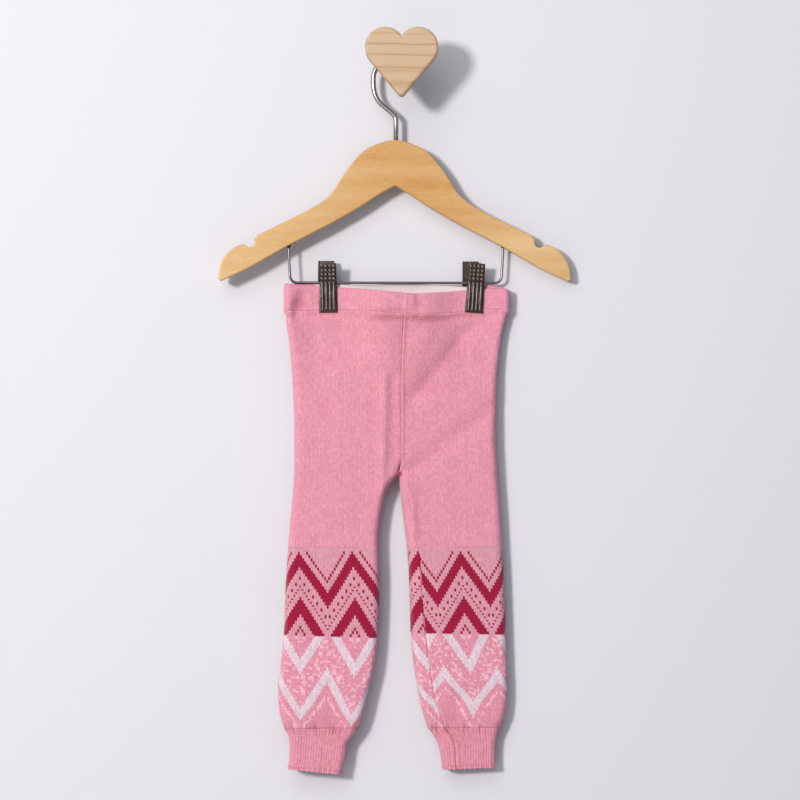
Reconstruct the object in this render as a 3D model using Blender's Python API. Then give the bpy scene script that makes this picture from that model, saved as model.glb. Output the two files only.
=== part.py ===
"""Baby knit leggings, clipped to a small wooden hanger that hangs from a heart-shaped wall knob.

Lengths are millimetres until a mesh is made, and then metres. +X is to the right of someone facing
the wall, -Y comes out of the wall towards them, and +Z is up. The origin is on the wall, on the axis
of the knob's peg. Left and right are as seen from the front.
"""
import math
from collections import namedtuple

import bpy
import bmesh
from mathutils import Vector

MM = 0.001
GAP = 0.3                        # air between neighbouring pieces

# Hanging: the hanger's middle plane, how far it stands off the wall, and its turn about the hook
HANG_Y = -14.0
HANGER_YAW = math.radians(2.4)   # the left end stands further out than the right one

# Cloth
LEG_WALL = 1.8
BAND_WALL = 2.2
CUFF_WALL = 2.2
CROTCH_Z = -342.0
CUFF_SEAM_Z = -557.0
CLIP_X = (-57.5, 66.6)           # middles of the two clips
CLIPPED_HALF = 2.5               # half of the band's depth where a clip grips it
CLIP_HOLD = 9.0                  # half of the width that a clip holds flat
PINCH_REACH = 40.0               # the band is open again this far past a clip
PINCH_DROP = 90.0                # and the legs this far below the band
WAIST_FRONT = 8.5                # how far the front and back of the band stand out of the middle plane
WAIST_BACK = 3.5                 # beyond their clipped depth
END_RADIUS = 7.0                 # roundness of the cloth's side folds, measured across the photo
SADDLE = 15.0                    # height over which the two halves round into each other at the crotch
SADDLE_SHARES = (0.8, 0.4, 0.12)  # levels of that height at which the legs have a row of points
BODY_LEVELS = [-215.0, -229.0, -245.0, -261.0, -277.0, -293.0, -308.0, -320.0]
LEG_LEVELS = [CROTCH_Z, -345.5, -351.0, -359.0, -370.0, -384.0, -400.0, -420.0, -440.0, -460.0,
              -480.0, -498.0, -512.0, -524.0, -534.0, -543.0, -551.0, CUFF_SEAM_Z]
LEG_END_STEPS = 4                # points round a side fold, and across the flat between two folds
LEG_FLAT_STEPS = 8
BAND_END_STEPS = 5
BAND_FLAT_STEPS = 26
BAND_PAST_LEFT = 0.6             # the band reaches this far past the legs' side folds
BAND_PAST_RIGHT = 0.2
BAND_MIDDLE_Z = -196.0

# Trouser bar, wood and hook
BAR_Z = -181.5
BAR_RADIUS = 1.25
BAR_BOTTOM_X = 89.5
BAR_TOP_X = 90.7
BAR_CORNER = 6.0
BAR_TOP_Z = -141.0
BAR_BEND_Z = -153.0              # the bar's uprights lean in a little from here down
BAR_SPAN = (-50.0, 0.0, 50.0)    # points along its straight
WOOD_CENTRE_X = -1.0
WOOD_THICK = 12.0
WOOD_EDGE = 2.0                  # rounding of the wood's edges
HOOK_RADIUS = 2.1
HOOK_FOOT_Z = -74.0
BORE_RUN_OUT = 5.0               # a bore's cutter passes the wood's edge by at least this
CROOK_RADIUS = 19.2
CROOK_END = math.radians(16)     # the crook stops here, measured up from +X

# Wall knob
PEG_RADIUS = 7.0
HEART_BACK_Y = -43.0
HEART_THICK = 16.0
HEART_CENTRE_X = 4.8
HEART_LOBE_X = 13.8
HEART_LOBE_Z = 12.2
HEART_LOBE_RADIUS = 16.6
HEART_SIDE = math.radians(-40)   # the way that each straight side faces
HEART_TIP_RADIUS = 3.2
HEART_EDGE = 2.8

CROOK_CENTRE_Z = PEG_RADIUS + GAP + HOOK_RADIUS - CROOK_RADIUS

# The hook's wire between the wood and the crook, where it bends to the left
HookRow = namedtuple("HookRow", "x z")
HOOK_BEND = [
    HookRow(0.0, -46.0),
    HookRow(-0.6, -41.6),
    HookRow(-3.9, -37.8),
    HookRow(-9.2, -33.4),
    HookRow(-14.2, -28.8),
    HookRow(-17.6, -22.6),
    HookRow(-19.0, -15.8),
]

# Sections of the body above the crotch: the two side folds, and how far front and back stand out
BodyRow = namedtuple("BodyRow", "z left right front back")
BODY = [
    BodyRow(-203.0, -93.8, 95.6, 7.5, 5.5),
    BodyRow(-217.0, -92.4, 91.4, 7.6, 5.8),
    BodyRow(-230.0, -90.4, 88.8, 8.0, 6.2),
    BodyRow(-264.0, -87.5, 85.4, 9.0, 6.8),
    BodyRow(-306.0, -85.9, 84.3, 9.4, 7.2),
    BodyRow(CROTCH_Z, -86.0, 85.8, 9.2, 7.4),
]

# Sections of one leg below the crotch: side fold, inner fold, and the front and back depths
LegRow = namedtuple("LegRow", "z outer inner front back")
LEFT_LEG = [
    LegRow(CROTCH_Z, -86.0, 2.9, 9.2, 7.4),
    LegRow(-349.0, -86.5, -4.4, 9.0, 7.4),
    LegRow(-357.0, -87.0, -9.0, 8.8, 7.3),
    LegRow(-378.0, -89.0, -13.5, 8.6, 7.2),
    LegRow(-395.0, -90.4, -14.9, 8.5, 7.2),
    LegRow(-433.0, -93.0, -14.0, 8.3, 7.2),
    LegRow(-478.0, -94.8, -15.2, 8.2, 7.2),
    LegRow(-505.0, -97.7, -18.2, 8.5, 7.4),
    LegRow(-526.0, -99.6, -23.5, 9.0, 7.6),
    LegRow(-543.0, -98.4, -27.4, 9.0, 7.4),
    LegRow(CUFF_SEAM_Z, -94.6, -31.4, 7.4, 6.6),
]
RIGHT_LEG = [
    LegRow(CROTCH_Z, 85.8, 2.9, 9.2, 7.4),
    LegRow(-349.0, 86.3, 2.9, 9.0, 7.4),
    LegRow(-357.0, 86.9, 3.5, 8.9, 7.3),
    LegRow(-378.0, 88.5, 5.7, 8.7, 7.2),
    LegRow(-395.0, 89.4, 8.0, 8.5, 7.2),
    LegRow(-433.0, 91.4, 11.0, 8.3, 7.2),
    LegRow(-478.0, 93.0, 12.3, 8.2, 7.2),
    LegRow(-505.0, 93.8, 15.0, 8.5, 7.4),
    LegRow(-526.0, 94.2, 18.4, 9.0, 7.6),
    LegRow(-543.0, 92.8, 22.2, 9.0, 7.4),
    LegRow(CUFF_SEAM_Z, 88.6, 26.5, 7.4, 6.6),
]

# The centre seam leans a little to the left on its way down to the crotch
SeamRow = namedtuple("SeamRow", "z x")
CENTRE_SEAM = [
    SeamRow(-180.0, 8.7),
    SeamRow(-206.0, 6.8),
    SeamRow(-264.0, 5.2),
    SeamRow(-330.0, 4.9),
    SeamRow(CROTCH_Z, 2.9),
]

# The waistband's edges, which sag between the clips
EdgeRow = namedtuple("EdgeRow", "x front_top back_top front_foot back_foot")
BAND_EDGES = [
    EdgeRow(-95.0, -182.2, -182.2, -205.6, -205.6),
    EdgeRow(-75.0, -183.6, -183.6, -205.0, -204.6),
    EdgeRow(-57.5, -184.8, -184.8, -204.6, -204.0),
    EdgeRow(-30.0, -186.8, -183.2, -205.0, -203.6),
    EdgeRow(0.0, -189.4, -182.4, -207.4, -203.2),
    EdgeRow(14.0, -190.8, -182.4, -208.0, -203.2),
    EdgeRow(37.0, -189.6, -183.2, -207.4, -203.2),
    EdgeRow(66.6, -187.2, -185.2, -204.4, -203.0),
    EdgeRow(80.0, -186.2, -186.0, -203.2, -203.0),
    EdgeRow(96.0, -187.2, -187.2, -204.2, -204.2),
]

# The waistband's wall in section: how far it stands out of the plain loop, going up its outside and
# down its inside, and the share of the way from its foot to its top edge
ProfileRow = namedtuple("ProfileRow", "out height")
BAND_PROFILE = [
    ProfileRow(0.0, 0.0),
    ProfileRow(0.35, 0.2),
    ProfileRow(0.4, 0.75),
    ProfileRow(0.0, 0.95),
    ProfileRow(-0.9, 1.0),
    ProfileRow(-1.7, 0.98),
    ProfileRow(-BAND_WALL, 0.9),
    ProfileRow(-BAND_WALL, 0.0),
]

# Cuffs, from their seam to their open end: drop below the seam, folds, depth. The drop is that of the
# inner fold, and the open end slants up to the outer one by the share that follows each table.
CuffRow = namedtuple("CuffRow", "drop outer inner front back")
LEFT_CUFF = [
    CuffRow(0.0, -94.6, -31.4, 7.4, 6.6),
    CuffRow(6.5, -91.0, -36.4, 6.8, 6.2),
    CuffRow(14.5, -89.7, -41.8, 6.6, 6.2),
    CuffRow(26.0, -89.8, -43.4, 6.8, 6.4),
    CuffRow(38.6, -91.2, -46.2, 7.2, 6.8),
]
LEFT_CUFF_SLANT = 0.88
RIGHT_CUFF = [
    CuffRow(0.0, 88.6, 26.5, 7.4, 6.6),
    CuffRow(6.5, 85.6, 31.3, 6.8, 6.2),
    CuffRow(14.5, 84.2, 35.6, 6.6, 6.2),
    CuffRow(26.0, 83.8, 38.0, 6.8, 6.4),
    CuffRow(34.9, 84.1, 39.2, 7.2, 6.8),
]
RIGHT_CUFF_SLANT = 0.96
CUFF_RIBS = 32
RIB_RISE = 0.7
RIB_FADE = 5.0                   # the ribs die away over this drop below the seam
CUFF_LEVELS = [0.0, 3.5, 7.5, 11.5, 16.5, 27.0]
CUFF_END_STEPS = 8
CUFF_FLAT_STEPS = 10

# Soft folds of the cloth: a line from one point to another on the front or back, its half-width, and
# how far it stands proud (or, below nought, sinks in)
Fold = namedtuple("Fold", "face x0 z0 x1 z1 reach rise")
FOLDS = [
    Fold("front", -8.9, -275.0, -13.5, -357.0, 6.0, 1.1),
    Fold("front", -1.5, -282.0, -3.0, -330.0, 5.0, -1.3),
    Fold("front", 8.0, -347.0, 15.0, -390.0, 6.0, 1.0),
    Fold("front", 62.0, -226.0, 37.0, -272.0, 9.0, -1.4),
    Fold("front", 73.0, -310.0, 53.0, -351.0, 9.0, -1.2),
    Fold("front", -48.0, -226.0, -22.0, -262.0, 9.0, -1.1),
    Fold("front", -84.0, -193.0, -75.0, -207.0, 7.0, -1.6),
    Fold("front", -60.0, -528.0, -52.0, -550.0, 7.0, -1.2),
    Fold("front", 55.0, -530.0, 50.0, -550.0, 7.0, -1.2),
    Fold("front", 22.0, -455.0, 36.0, -540.0, 6.0, -0.9),
    Fold("back", -40.0, -225.0, -15.0, -290.0, 10.0, -1.2),
    Fold("back", 50.0, -230.0, 22.0, -295.0, 10.0, -1.3),
    Fold("back", -9.0, -345.0, -25.0, -372.0, 6.0, -1.0),
    Fold("back", 12.0, -345.0, 24.0, -372.0, 6.0, -1.0),
    Fold("back", -66.0, -526.0, -58.0, -550.0, 7.0, -1.2),
    Fold("back", 60.0, -526.0, 54.0, -550.0, 7.0, -1.2),
]

# Half of the wood's outline: the upper edge out to a small round notch, the round shoulder past it,
# and the lower edge back from the tip to the middle
WoodRow = namedtuple("WoodRow", "out z")
WOOD_TOP = [
    WoodRow(0.0, -61.0),
    WoodRow(10.0, -63.0),
    WoodRow(26.5, -70.8),
    WoodRow(41.7, -88.1),
    WoodRow(51.4, -103.6),
    WoodRow(62.1, -114.0),
    WoodRow(78.3, -123.2),
    WoodRow(104.0, -135.9),
    WoodRow(115.6, -141.7),
]
WOOD_TIP = [
    WoodRow(128.8, -149.2),
    WoodRow(133.0, -150.9),
    WoodRow(139.0, -154.9),
    WoodRow(144.8, -161.8),
    WoodRow(147.8, -169.6),
]
WOOD_FOOT = [
    WoodRow(133.0, -173.9),
    WoodRow(121.4, -168.4),
    WoodRow(90.2, -150.7),
    WoodRow(56.7, -133.4),
    WoodRow(30.0, -118.2),
    WoodRow(13.6, -107.4),
    WoodRow(0.0, -99.8),
]
NOTCH_OUT = 122.4                # the round cut near each tip, for a loop or strap
NOTCH_Z = -147.4
NOTCH_RADIUS = 4.4
TIP_OUT = 146.4                  # the rounded corner at the tip
TIP_Z = -177.6
TIP_RADIUS = 2.4

# Half of a clip, from its thumb pad to its jaw: height over the bar, distance from the middle plane
# to its inner face, half-width, and how deep its side flanges reach towards the other half
ClipRow = namedtuple("ClipRow", "height inner half_width flange")
CLIP = [
    ClipRow(16.2, 7.2, 6.6, 0.5),
    ClipRow(15.0, 6.9, 6.9, 1.4),
    ClipRow(6.0, 5.6, 7.0, 2.4),
    ClipRow(1.6, 4.8, 7.1, 3.1),
    ClipRow(-1.4, 4.5, 7.2, 2.8),
    ClipRow(-2.8, 4.4, 7.2, 0.7),
    ClipRow(-12.0, 4.2, 7.4, 0.5),
    ClipRow(-21.0, 3.7, 7.7, 0.4),
    ClipRow(-25.4, 3.6, 7.8, 0.3),
]
CLIP_SHEET = 0.8
# Placing of each clip's halves: middle at the bar, and lean in the plane of the hanger
ClipHalf = namedtuple("ClipHalf", "name side x lean")
CLIP_HALVES = [
    ClipHalf("clip_left_front", -1, -57.4, math.radians(-0.8)),
    ClipHalf("clip_left_back", 1, -58.8, math.radians(0.0)),
    ClipHalf("clip_right_front", -1, 67.3, math.radians(3.4)),
    ClipHalf("clip_right_back", 1, 64.6, math.radians(0.0)),
]


# ---------------------------------------------------------------- small tools

def smooth(t):
    t = min(1.0, max(0.0, t))
    return t * t * (3.0 - 2.0 * t)


def mix(a, b, t):
    return a + (b - a) * t


def read_table(rows, key, column, value):
    """A smooth curve through one column of a table, which never swings past its rows."""
    places = [getattr(row, key) for row in rows]
    levels = [getattr(row, column) for row in rows]
    if places[0] > places[-1]:
        places.reverse()
        levels.reverse()
    if value <= places[0]:
        return levels[0]
    if value >= places[-1]:
        return levels[-1]
    slopes = []
    for a in range(len(places) - 1):
        slopes.append((levels[a + 1] - levels[a]) / (places[a + 1] - places[a]))
    turns = [slopes[0]]
    for before, after in zip(slopes, slopes[1:]):
        turns.append(0.0 if before * after <= 0.0 else 2.0 * before * after / (before + after))
    turns.append(slopes[-1])
    a = max(n for n in range(len(places) - 1) if places[n] <= value)
    width = places[a + 1] - places[a]
    t = (value - places[a]) / width
    rise = t * t * (3.0 - 2.0 * t)
    start_bend = t * (1.0 - t) ** 2 * turns[a]
    end_bend = t * t * (t - 1.0) * turns[a + 1]
    return mix(levels[a], levels[a + 1], rise) + (start_bend + end_bend) * width


def smooth_path(points, steps):
    """Points along a smooth curve through the given ones."""
    path = []
    padded = [points[0]] + list(points) + [points[-1]]
    for a, b, c, d in zip(padded, padded[1:], padded[2:], padded[3:]):
        for step in range(steps):
            t = step / steps
            path.append(0.5 * ((2 * b) + (c - a) * t + (2 * a - 5 * b + 4 * c - d) * t * t
                               + (3 * b - a - 3 * c + d) * t ** 3))
    path.append(points[-1])
    return path


def arc(centre, radius, start, end, steps):
    """Points along a round stretch in the XZ plane."""
    points = []
    for step in range(steps + 1):
        angle = mix(start, end, step / steps)
        points.append(centre + radius * Vector((math.cos(angle), 0.0, math.sin(angle))))
    return points


def add_material(name, colour, roughness, metallic=0.0):
    material = bpy.data.materials.new(name)
    material.use_nodes = True
    shader = material.node_tree.nodes["Principled BSDF"]
    shader.inputs["Base Color"].default_value = (*colour, 1.0)
    shader.inputs["Roughness"].default_value = roughness
    shader.inputs["Metallic"].default_value = metallic
    material.diffuse_color = (*colour, 1.0)
    return material


def add_piece(name, points, faces, material, parent, sharp_angle=40.0):
    """One closed solid, from points in millimetres."""
    mesh = bpy.data.meshes.new(name)
    mesh.from_pydata([point * MM for point in points], [], faces)
    sheet = bmesh.new()
    sheet.from_mesh(mesh)
    bmesh.ops.recalc_face_normals(sheet, faces=sheet.faces)
    sheet.to_mesh(mesh)
    sheet.free()
    mesh.materials.append(material)
    mesh.shade_smooth()
    mesh.set_sharp_from_angle(angle=math.radians(sharp_angle))
    piece = bpy.data.objects.new(name, mesh)
    bpy.context.scene.collection.objects.link(piece)
    piece.parent = parent
    return piece


def add_wall(name, outer, inner, closed_from, material, parent, sharp_angle=50.0):
    """A wall of cloth between two grids of points, whose rows run round the body from top to bottom.

    Rows from closed_from down are rings, whose last point is their first. Those above it are open.
    """
    points = []
    places = {}

    def place(face, row, column):
        if row >= closed_from and column == len(outer[row]) - 1:
            column = 0
        key = (face, row, column)
        if key not in places:
            places[key] = len(points)
            points.append((outer if face == "outer" else inner)[row][column])
        return places[key]

    faces = []
    rows = len(outer)
    columns = len(outer[0])
    for row in range(rows - 1):
        for column in range(columns - 1):
            for face in ("outer", "inner"):
                corners = [(row, column), (row, column + 1), (row + 1, column + 1), (row + 1, column)]
                faces.append([place(face, *corner) for corner in corners])
    for row in (0, rows - 1):
        for column in range(columns - 1):
            faces.append([place("outer", row, column), place("inner", row, column),
                          place("inner", row, column + 1), place("outer", row, column + 1)])
    for row in range(min(closed_from, rows - 1)):
        for column in (0, columns - 1):
            faces.append([place("outer", row, column), place("inner", row, column),
                          place("inner", row + 1, column), place("outer", row + 1, column)])
    return add_piece(name, points, faces, material, parent, sharp_angle)


def add_rod(name, path, radius, sides, material, parent, rounded_end=False):
    """A bent wire whose path lies in the XZ plane."""
    points = []
    faces = []
    rings = []
    across = Vector((0.0, 1.0, 0.0))
    for place, centre in enumerate(path):
        before = path[max(0, place - 1)]
        after = path[min(len(path) - 1, place + 1)]
        along = (after - before).normalized()
        upright = across.cross(along)
        rings.append((centre, upright, radius))
    if rounded_end:
        centre, upright, _ = rings[-1]
        along = upright.cross(across)
        for angle in (30.0, 60.0):
            reach = radius * math.sin(math.radians(angle))
            size = radius * math.cos(math.radians(angle))
            rings.append((centre + along * reach, upright, size))
    for centre, upright, size in rings:
        for side in range(sides):
            angle = 2.0 * math.pi * side / sides
            points.append(centre + size * (math.cos(angle) * upright + math.sin(angle) * across))
    for ring in range(len(rings) - 1):
        for side in range(sides):
            other = (side + 1) % sides
            faces.append([ring * sides + side, ring * sides + other,
                          (ring + 1) * sides + other, (ring + 1) * sides + side])
    faces.append(list(range(sides)))
    faces.append([(len(rings) - 1) * sides + side for side in range(sides)])
    return add_piece(name, points, faces, material, parent)


def add_board(name, outline, y_front, y_back, edge, material, parent):
    """A board cut to an outline in the XZ plane, with rounded front and back edges."""
    count = len(outline)
    outward = []
    for place in range(count):
        along = outline[(place + 1) % count] - outline[place - 1]
        outward.append(Vector((along.z, 0.0, -along.x)).normalized())
    area = sum(outline[n - 1].x * outline[n].z - outline[n].x * outline[n - 1].z for n in range(count))
    if area < 0.0:
        outward = [-direction for direction in outward]
    slices = []
    for angle in (90.0, 45.0, 0.0):
        inset = edge * (1.0 - math.cos(math.radians(angle)))
        depth = edge * (1.0 - math.sin(math.radians(angle)))
        slices.append((y_front + depth, inset))
    slices += [(y_front + y_back - y, inset) for y, inset in reversed(slices)]
    points = []
    for y, inset in slices:
        for point, direction in zip(outline, outward):
            points.append(Vector((point.x, y, point.z)) - direction * inset)
    faces = [list(range(count)), [(len(slices) - 1) * count + n for n in range(count)]]
    for level in range(len(slices) - 1):
        for place in range(count):
            other = (place + 1) % count
            faces.append([level * count + place, level * count + other,
                          (level + 1) * count + other, (level + 1) * count + place])
    return add_piece(name, points, faces, material, parent)


def cut_bore(piece, x, z_foot, z_top, radius):
    """Drill an upright hole into a hanger piece, on its middle plane."""
    bpy.ops.mesh.primitive_cylinder_add(vertices=16, radius=radius * MM, depth=(z_top - z_foot) * MM)
    cutter = bpy.context.object
    cutter.name = f"{piece.name}_cutter_{int(x)}"
    cutter.location = Vector((x, 0.0, (z_foot + z_top) / 2.0)) * MM
    cutter.parent = piece.parent
    cutter.hide_render = True
    cutter.display_type = "WIRE"
    bore = piece.modifiers.new("bore", "BOOLEAN")
    bore.operation = "DIFFERENCE"
    bore.object = cutter


# ---------------------------------------------------------------- form of the cloth

def clear_of_clips(x):
    """Distance past the nearest stretch that a clip holds flat."""
    return min(max(0.0, abs(x - clip_x) - CLIP_HOLD) for clip_x in CLIP_X)


def fold_rise(face, x, z):
    """How far the soft folds push the cloth out at one place."""
    rise = 0.0
    for fold in FOLDS:
        if fold.face != face:
            continue
        run_x = fold.x1 - fold.x0
        run_z = fold.z1 - fold.z0
        t = ((x - fold.x0) * run_x + (z - fold.z0) * run_z) / (run_x ** 2 + run_z ** 2)
        t = min(1.0, max(0.0, t))
        off = math.hypot(x - fold.x0 - t * run_x, z - fold.z0 - t * run_z)
        rise += fold.rise * math.exp(-(off / fold.reach) ** 2)
    return rise


def waist_depth(face, x):
    """How far the waist stands out of the middle plane: flat at the clips, open elsewhere."""
    spread = WAIST_FRONT if face == "front" else WAIST_BACK
    return CLIPPED_HALF + spread * smooth(clear_of_clips(x) / PINCH_REACH)


def cloth_depth(rows, face, x, z):
    """Depth of the front or back of the leggings at one place."""
    hung_depth = read_table(rows, "z", face, z)
    below_band = (BODY[0].z - z) / PINCH_DROP
    return mix(waist_depth(face, x), hung_depth, smooth(below_band)) + fold_rise(face, x, z)


def across(inner, outer, openness, end_steps, flat_steps):
    """Places from the inner edge to the side fold: (x, share of the depth there)."""
    way = 1.0 if outer > inner else -1.0
    places = []
    for step in range(end_steps):
        turn = 0.5 * math.pi * step / end_steps
        share = math.sqrt(1.0 - (1.0 - openness ** 2) * math.cos(turn) ** 2)
        places.append((inner + way * END_RADIUS * (1.0 - math.cos(turn)), share))
    for step in range(flat_steps + 1):
        flat_x = mix(inner + way * END_RADIUS, outer - way * END_RADIUS, step / flat_steps)
        places.append((flat_x, 1.0))
    for step in range(end_steps - 1, -1, -1):
        turn = 0.5 * math.pi * step / end_steps
        places.append((outer - way * END_RADIUS * (1.0 - math.cos(turn)), math.sin(turn)))
    return places


def round_section(places, depth_of):
    """(x, y) round a flattened tube: along the front, round the side fold and along the back."""
    section = [(x, -share * depth_of("front", x)) for x, share in places]
    section += [(x, share * depth_of("back", x)) for x, share in reversed(places[:-1])]
    return section


def inset_section(section, wall, closed):
    """The same section, moved in by the wall's thickness."""
    inset = []
    last = len(section) - 1
    area = sum(a[0] * b[1] - b[0] * a[1] for a, b in zip(section, section[1:]))
    turn = 1.0 if area > 0.0 else -1.0
    for place, (x, y) in enumerate(section):
        before = section[place - 1] if place > 0 else section[last - 1 if closed else 0]
        after = section[place + 1] if place < last else section[1 if closed else last]
        along = Vector((after[0] - before[0], after[1] - before[1])).normalized()
        inset.append((x - turn * along.y * wall, y + turn * along.x * wall))
    return inset


def lift(section, heights):
    return [Vector((x, y, z)) for (x, y), z in zip(section, heights)]


# ---------------------------------------------------------------- leggings

def add_leg(name, side, table, material, parent):
    """Half of the body and one leg: an open sheet down to the crotch, and a tube below it."""
    outer_rows = []
    inner_rows = []
    outer_column = "left" if side < 0 else "right"

    def section_at(z):
        rows = BODY if z > CROTCH_Z else table
        if z > CROTCH_Z:
            rise = min(1.0, (z - CROTCH_Z) / SADDLE)
            openness = math.sqrt(1.0 - (1.0 - rise) ** 2)
            inner = read_table(CENTRE_SEAM, "z", "x", z) + side * GAP / 2.0
            outer = read_table(BODY, "z", outer_column, z)
        else:
            openness = 0.0
            inner = read_table(table, "z", "inner", z) + side * GAP / 2.0
            outer = read_table(table, "z", "outer", z)
        places = across(inner, outer, openness, LEG_END_STEPS, LEG_FLAT_STEPS)
        return round_section(places, lambda face, x: cloth_depth(rows, face, x, z))

    def add_row(section, heights, closed):
        outer_rows.append(lift(section, heights))
        inner_rows.append(lift(inset_section(section, LEG_WALL, closed), heights))

    def top_height(x, y):
        column = "front_foot" if y < 0.0 else "back_foot"
        return read_table(BAND_EDGES, "x", column, x) - GAP

    top = section_at(BODY[0].z)
    for share in (0.0, 0.5):
        heights = [mix(top_height(x, y), BODY_LEVELS[0], share) for x, y in top]
        section = section_at(mix(BODY[0].z, BODY_LEVELS[0], share))
        add_row(section, heights, False)
    for z in BODY_LEVELS + [CROTCH_Z + SADDLE * share for share in SADDLE_SHARES]:
        section = section_at(z)
        add_row(section, [z] * len(section), False)
    closed_from = len(outer_rows)
    for z in LEG_LEVELS:
        section = section_at(z)
        add_row(section, [z] * len(section), True)
    return add_wall(name, outer_rows, inner_rows, closed_from, material, parent)


def add_waistband(material, parent):
    """A strip folded over elastic: a closed ring with a rounded top edge."""
    left = BODY[0].left - BAND_PAST_LEFT
    right = BODY[0].right + BAND_PAST_RIGHT
    front = across(left, right, 0.0, BAND_END_STEPS, BAND_FLAT_STEPS)

    def band_depth(face, x):
        return waist_depth(face, x) + fold_rise(face, x, BAND_MIDDLE_Z)

    section = round_section(front, band_depth)
    count = len(section) - 1
    points = []
    for row in BAND_PROFILE:
        moved = inset_section(section, -row.out, True)
        for (x, y), (edge_x, edge_y) in list(zip(moved, section))[:count]:
            face = "front" if edge_y < 0.0 else "back"
            foot = read_table(BAND_EDGES, "x", face + "_foot", edge_x)
            top = read_table(BAND_EDGES, "x", face + "_top", edge_x)
            points.append(Vector((x, y, mix(foot, top, row.height))))
    faces = []
    for ring in range(len(BAND_PROFILE)):
        other_ring = (ring + 1) % len(BAND_PROFILE)
        for place in range(count):
            other = (place + 1) % count
            faces.append([ring * count + place, ring * count + other,
                          other_ring * count + other, other_ring * count + place])
    return add_piece("waistband", points, faces, material, parent, 50.0)


def even_section(section, count):
    """Points at equal steps round a closed section."""
    lengths = [0.0]
    for a, b in zip(section, section[1:]):
        lengths.append(lengths[-1] + math.dist(a, b))
    points = []
    segment = 0
    for step in range(count + 1):
        reach = lengths[-1] * step / count
        while segment < len(section) - 2 and lengths[segment + 1] < reach:
            segment += 1
        t = (reach - lengths[segment]) / (lengths[segment + 1] - lengths[segment])
        a = section[segment]
        b = section[segment + 1]
        points.append((mix(a[0], b[0], t), mix(a[1], b[1], t)))
    return points


def add_cuff(name, side, table, slant, material, parent):
    """A 1x1 rib tube: ribs raised on the outside, plain inside."""
    outer_rows = []
    inner_rows = []

    def heights(section, drop, inner, outer):
        levels = []
        for x, _ in section:
            share = min(1.0, max(0.0, (x - inner) / (outer - inner)))
            levels.append(CUFF_SEAM_Z - GAP - drop * mix(1.0, slant, share * drop / table[-1].drop))
        return levels

    for drop in CUFF_LEVELS + [table[-1].drop]:
        inner = read_table(table, "drop", "inner", drop) + side * GAP / 2.0
        outer = read_table(table, "drop", "outer", drop)
        places = across(inner, outer, 0.0, CUFF_END_STEPS, CUFF_FLAT_STEPS)
        plain = round_section(places, lambda face, x: read_table(table, "drop", face, drop))
        section = even_section(plain, CUFF_RIBS * 2)
        rise = RIB_RISE * smooth(drop / RIB_FADE)
        ribbed = []
        valley = inset_section(section, 0.0, True)
        ridge = inset_section(section, -rise, True)
        for place in range(len(section)):
            ribbed.append(ridge[place] if place % 2 == 0 else valley[place])
        levels = heights(section, drop, inner, outer)
        outer_rows.append(lift(ribbed, levels))
        inner_rows.append(lift(inset_section(section, CUFF_WALL, True), levels))
    return add_wall(name, outer_rows, inner_rows, 0, material, parent, 15.0)


# ---------------------------------------------------------------- hanger

def wood_outline():
    """The hanger's outline, once round, starting at the top of the middle."""
    def smooth_edge(rows, steps):
        return smooth_path([Vector((row.out, 0.0, row.z)) for row in rows], steps)

    notch_centre = Vector((NOTCH_OUT, 0.0, NOTCH_Z))
    notch = arc(notch_centre, NOTCH_RADIUS, math.radians(150), math.radians(320), 5)
    tip_centre = Vector((TIP_OUT, 0.0, TIP_Z))
    tip = arc(tip_centre, TIP_RADIUS, math.radians(5), math.radians(-115), 4)
    half = smooth_edge(WOOD_TOP, 2) + notch + smooth_edge(WOOD_TIP, 2) + tip
    half += smooth_edge(WOOD_FOOT, 2)
    right = [Vector((WOOD_CENTRE_X + point.x, 0.0, point.z)) for point in half]
    left = [Vector((WOOD_CENTRE_X - point.x, 0.0, point.z)) for point in reversed(half[1:-1])]
    return right + left


def add_hanger_body(material, parent):
    half = WOOD_THICK / 2.0
    body = add_board("hanger_body", wood_outline(), -half, half, WOOD_EDGE, material, parent)
    cut_bore(body, 0.0, HOOK_FOOT_Z - GAP, WOOD_TOP[0].z + BORE_RUN_OUT, HOOK_RADIUS + GAP)
    for x in (-BAR_TOP_X, BAR_TOP_X):
        cut_bore(body, x, BAR_Z + BORE_RUN_OUT, BAR_TOP_Z + GAP, BAR_RADIUS + GAP)
    return body


def add_hook(material, parent):
    """Wire from the wood, bent to the left and round over the peg."""
    centre = Vector((0.0, 0.0, CROOK_CENTRE_Z))
    bend = [Vector((row.x, 0.0, row.z)) for row in HOOK_BEND]
    path = [Vector((0.0, 0.0, HOOK_FOOT_Z))] + smooth_path(bend, 2)
    path += arc(centre, CROOK_RADIUS, math.pi, CROOK_END, 20)
    return add_rod("hanger_hook", path, HOOK_RADIUS, 10, material, parent, rounded_end=True)


def add_trouser_bar(material, parent):
    """Thin wire from the wood's underside, along under it and back up into it."""
    corner_z = BAR_Z + BAR_CORNER
    path = [Vector((-BAR_TOP_X, 0.0, BAR_TOP_Z)), Vector((-BAR_TOP_X, 0.0, BAR_BEND_Z))]
    left_centre = Vector((-BAR_BOTTOM_X + BAR_CORNER, 0.0, corner_z))
    right_centre = Vector((BAR_BOTTOM_X - BAR_CORNER, 0.0, corner_z))
    path += arc(left_centre, BAR_CORNER, math.pi, 1.5 * math.pi, 5)
    path += [Vector((x, 0.0, BAR_Z)) for x in BAR_SPAN]
    path += arc(right_centre, BAR_CORNER, 1.5 * math.pi, 2.0 * math.pi, 5)
    path += [Vector((BAR_TOP_X, 0.0, BAR_BEND_Z)), Vector((BAR_TOP_X, 0.0, BAR_TOP_Z))]
    return add_rod("trouser_bar", path, BAR_RADIUS, 8, material, parent)


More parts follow.
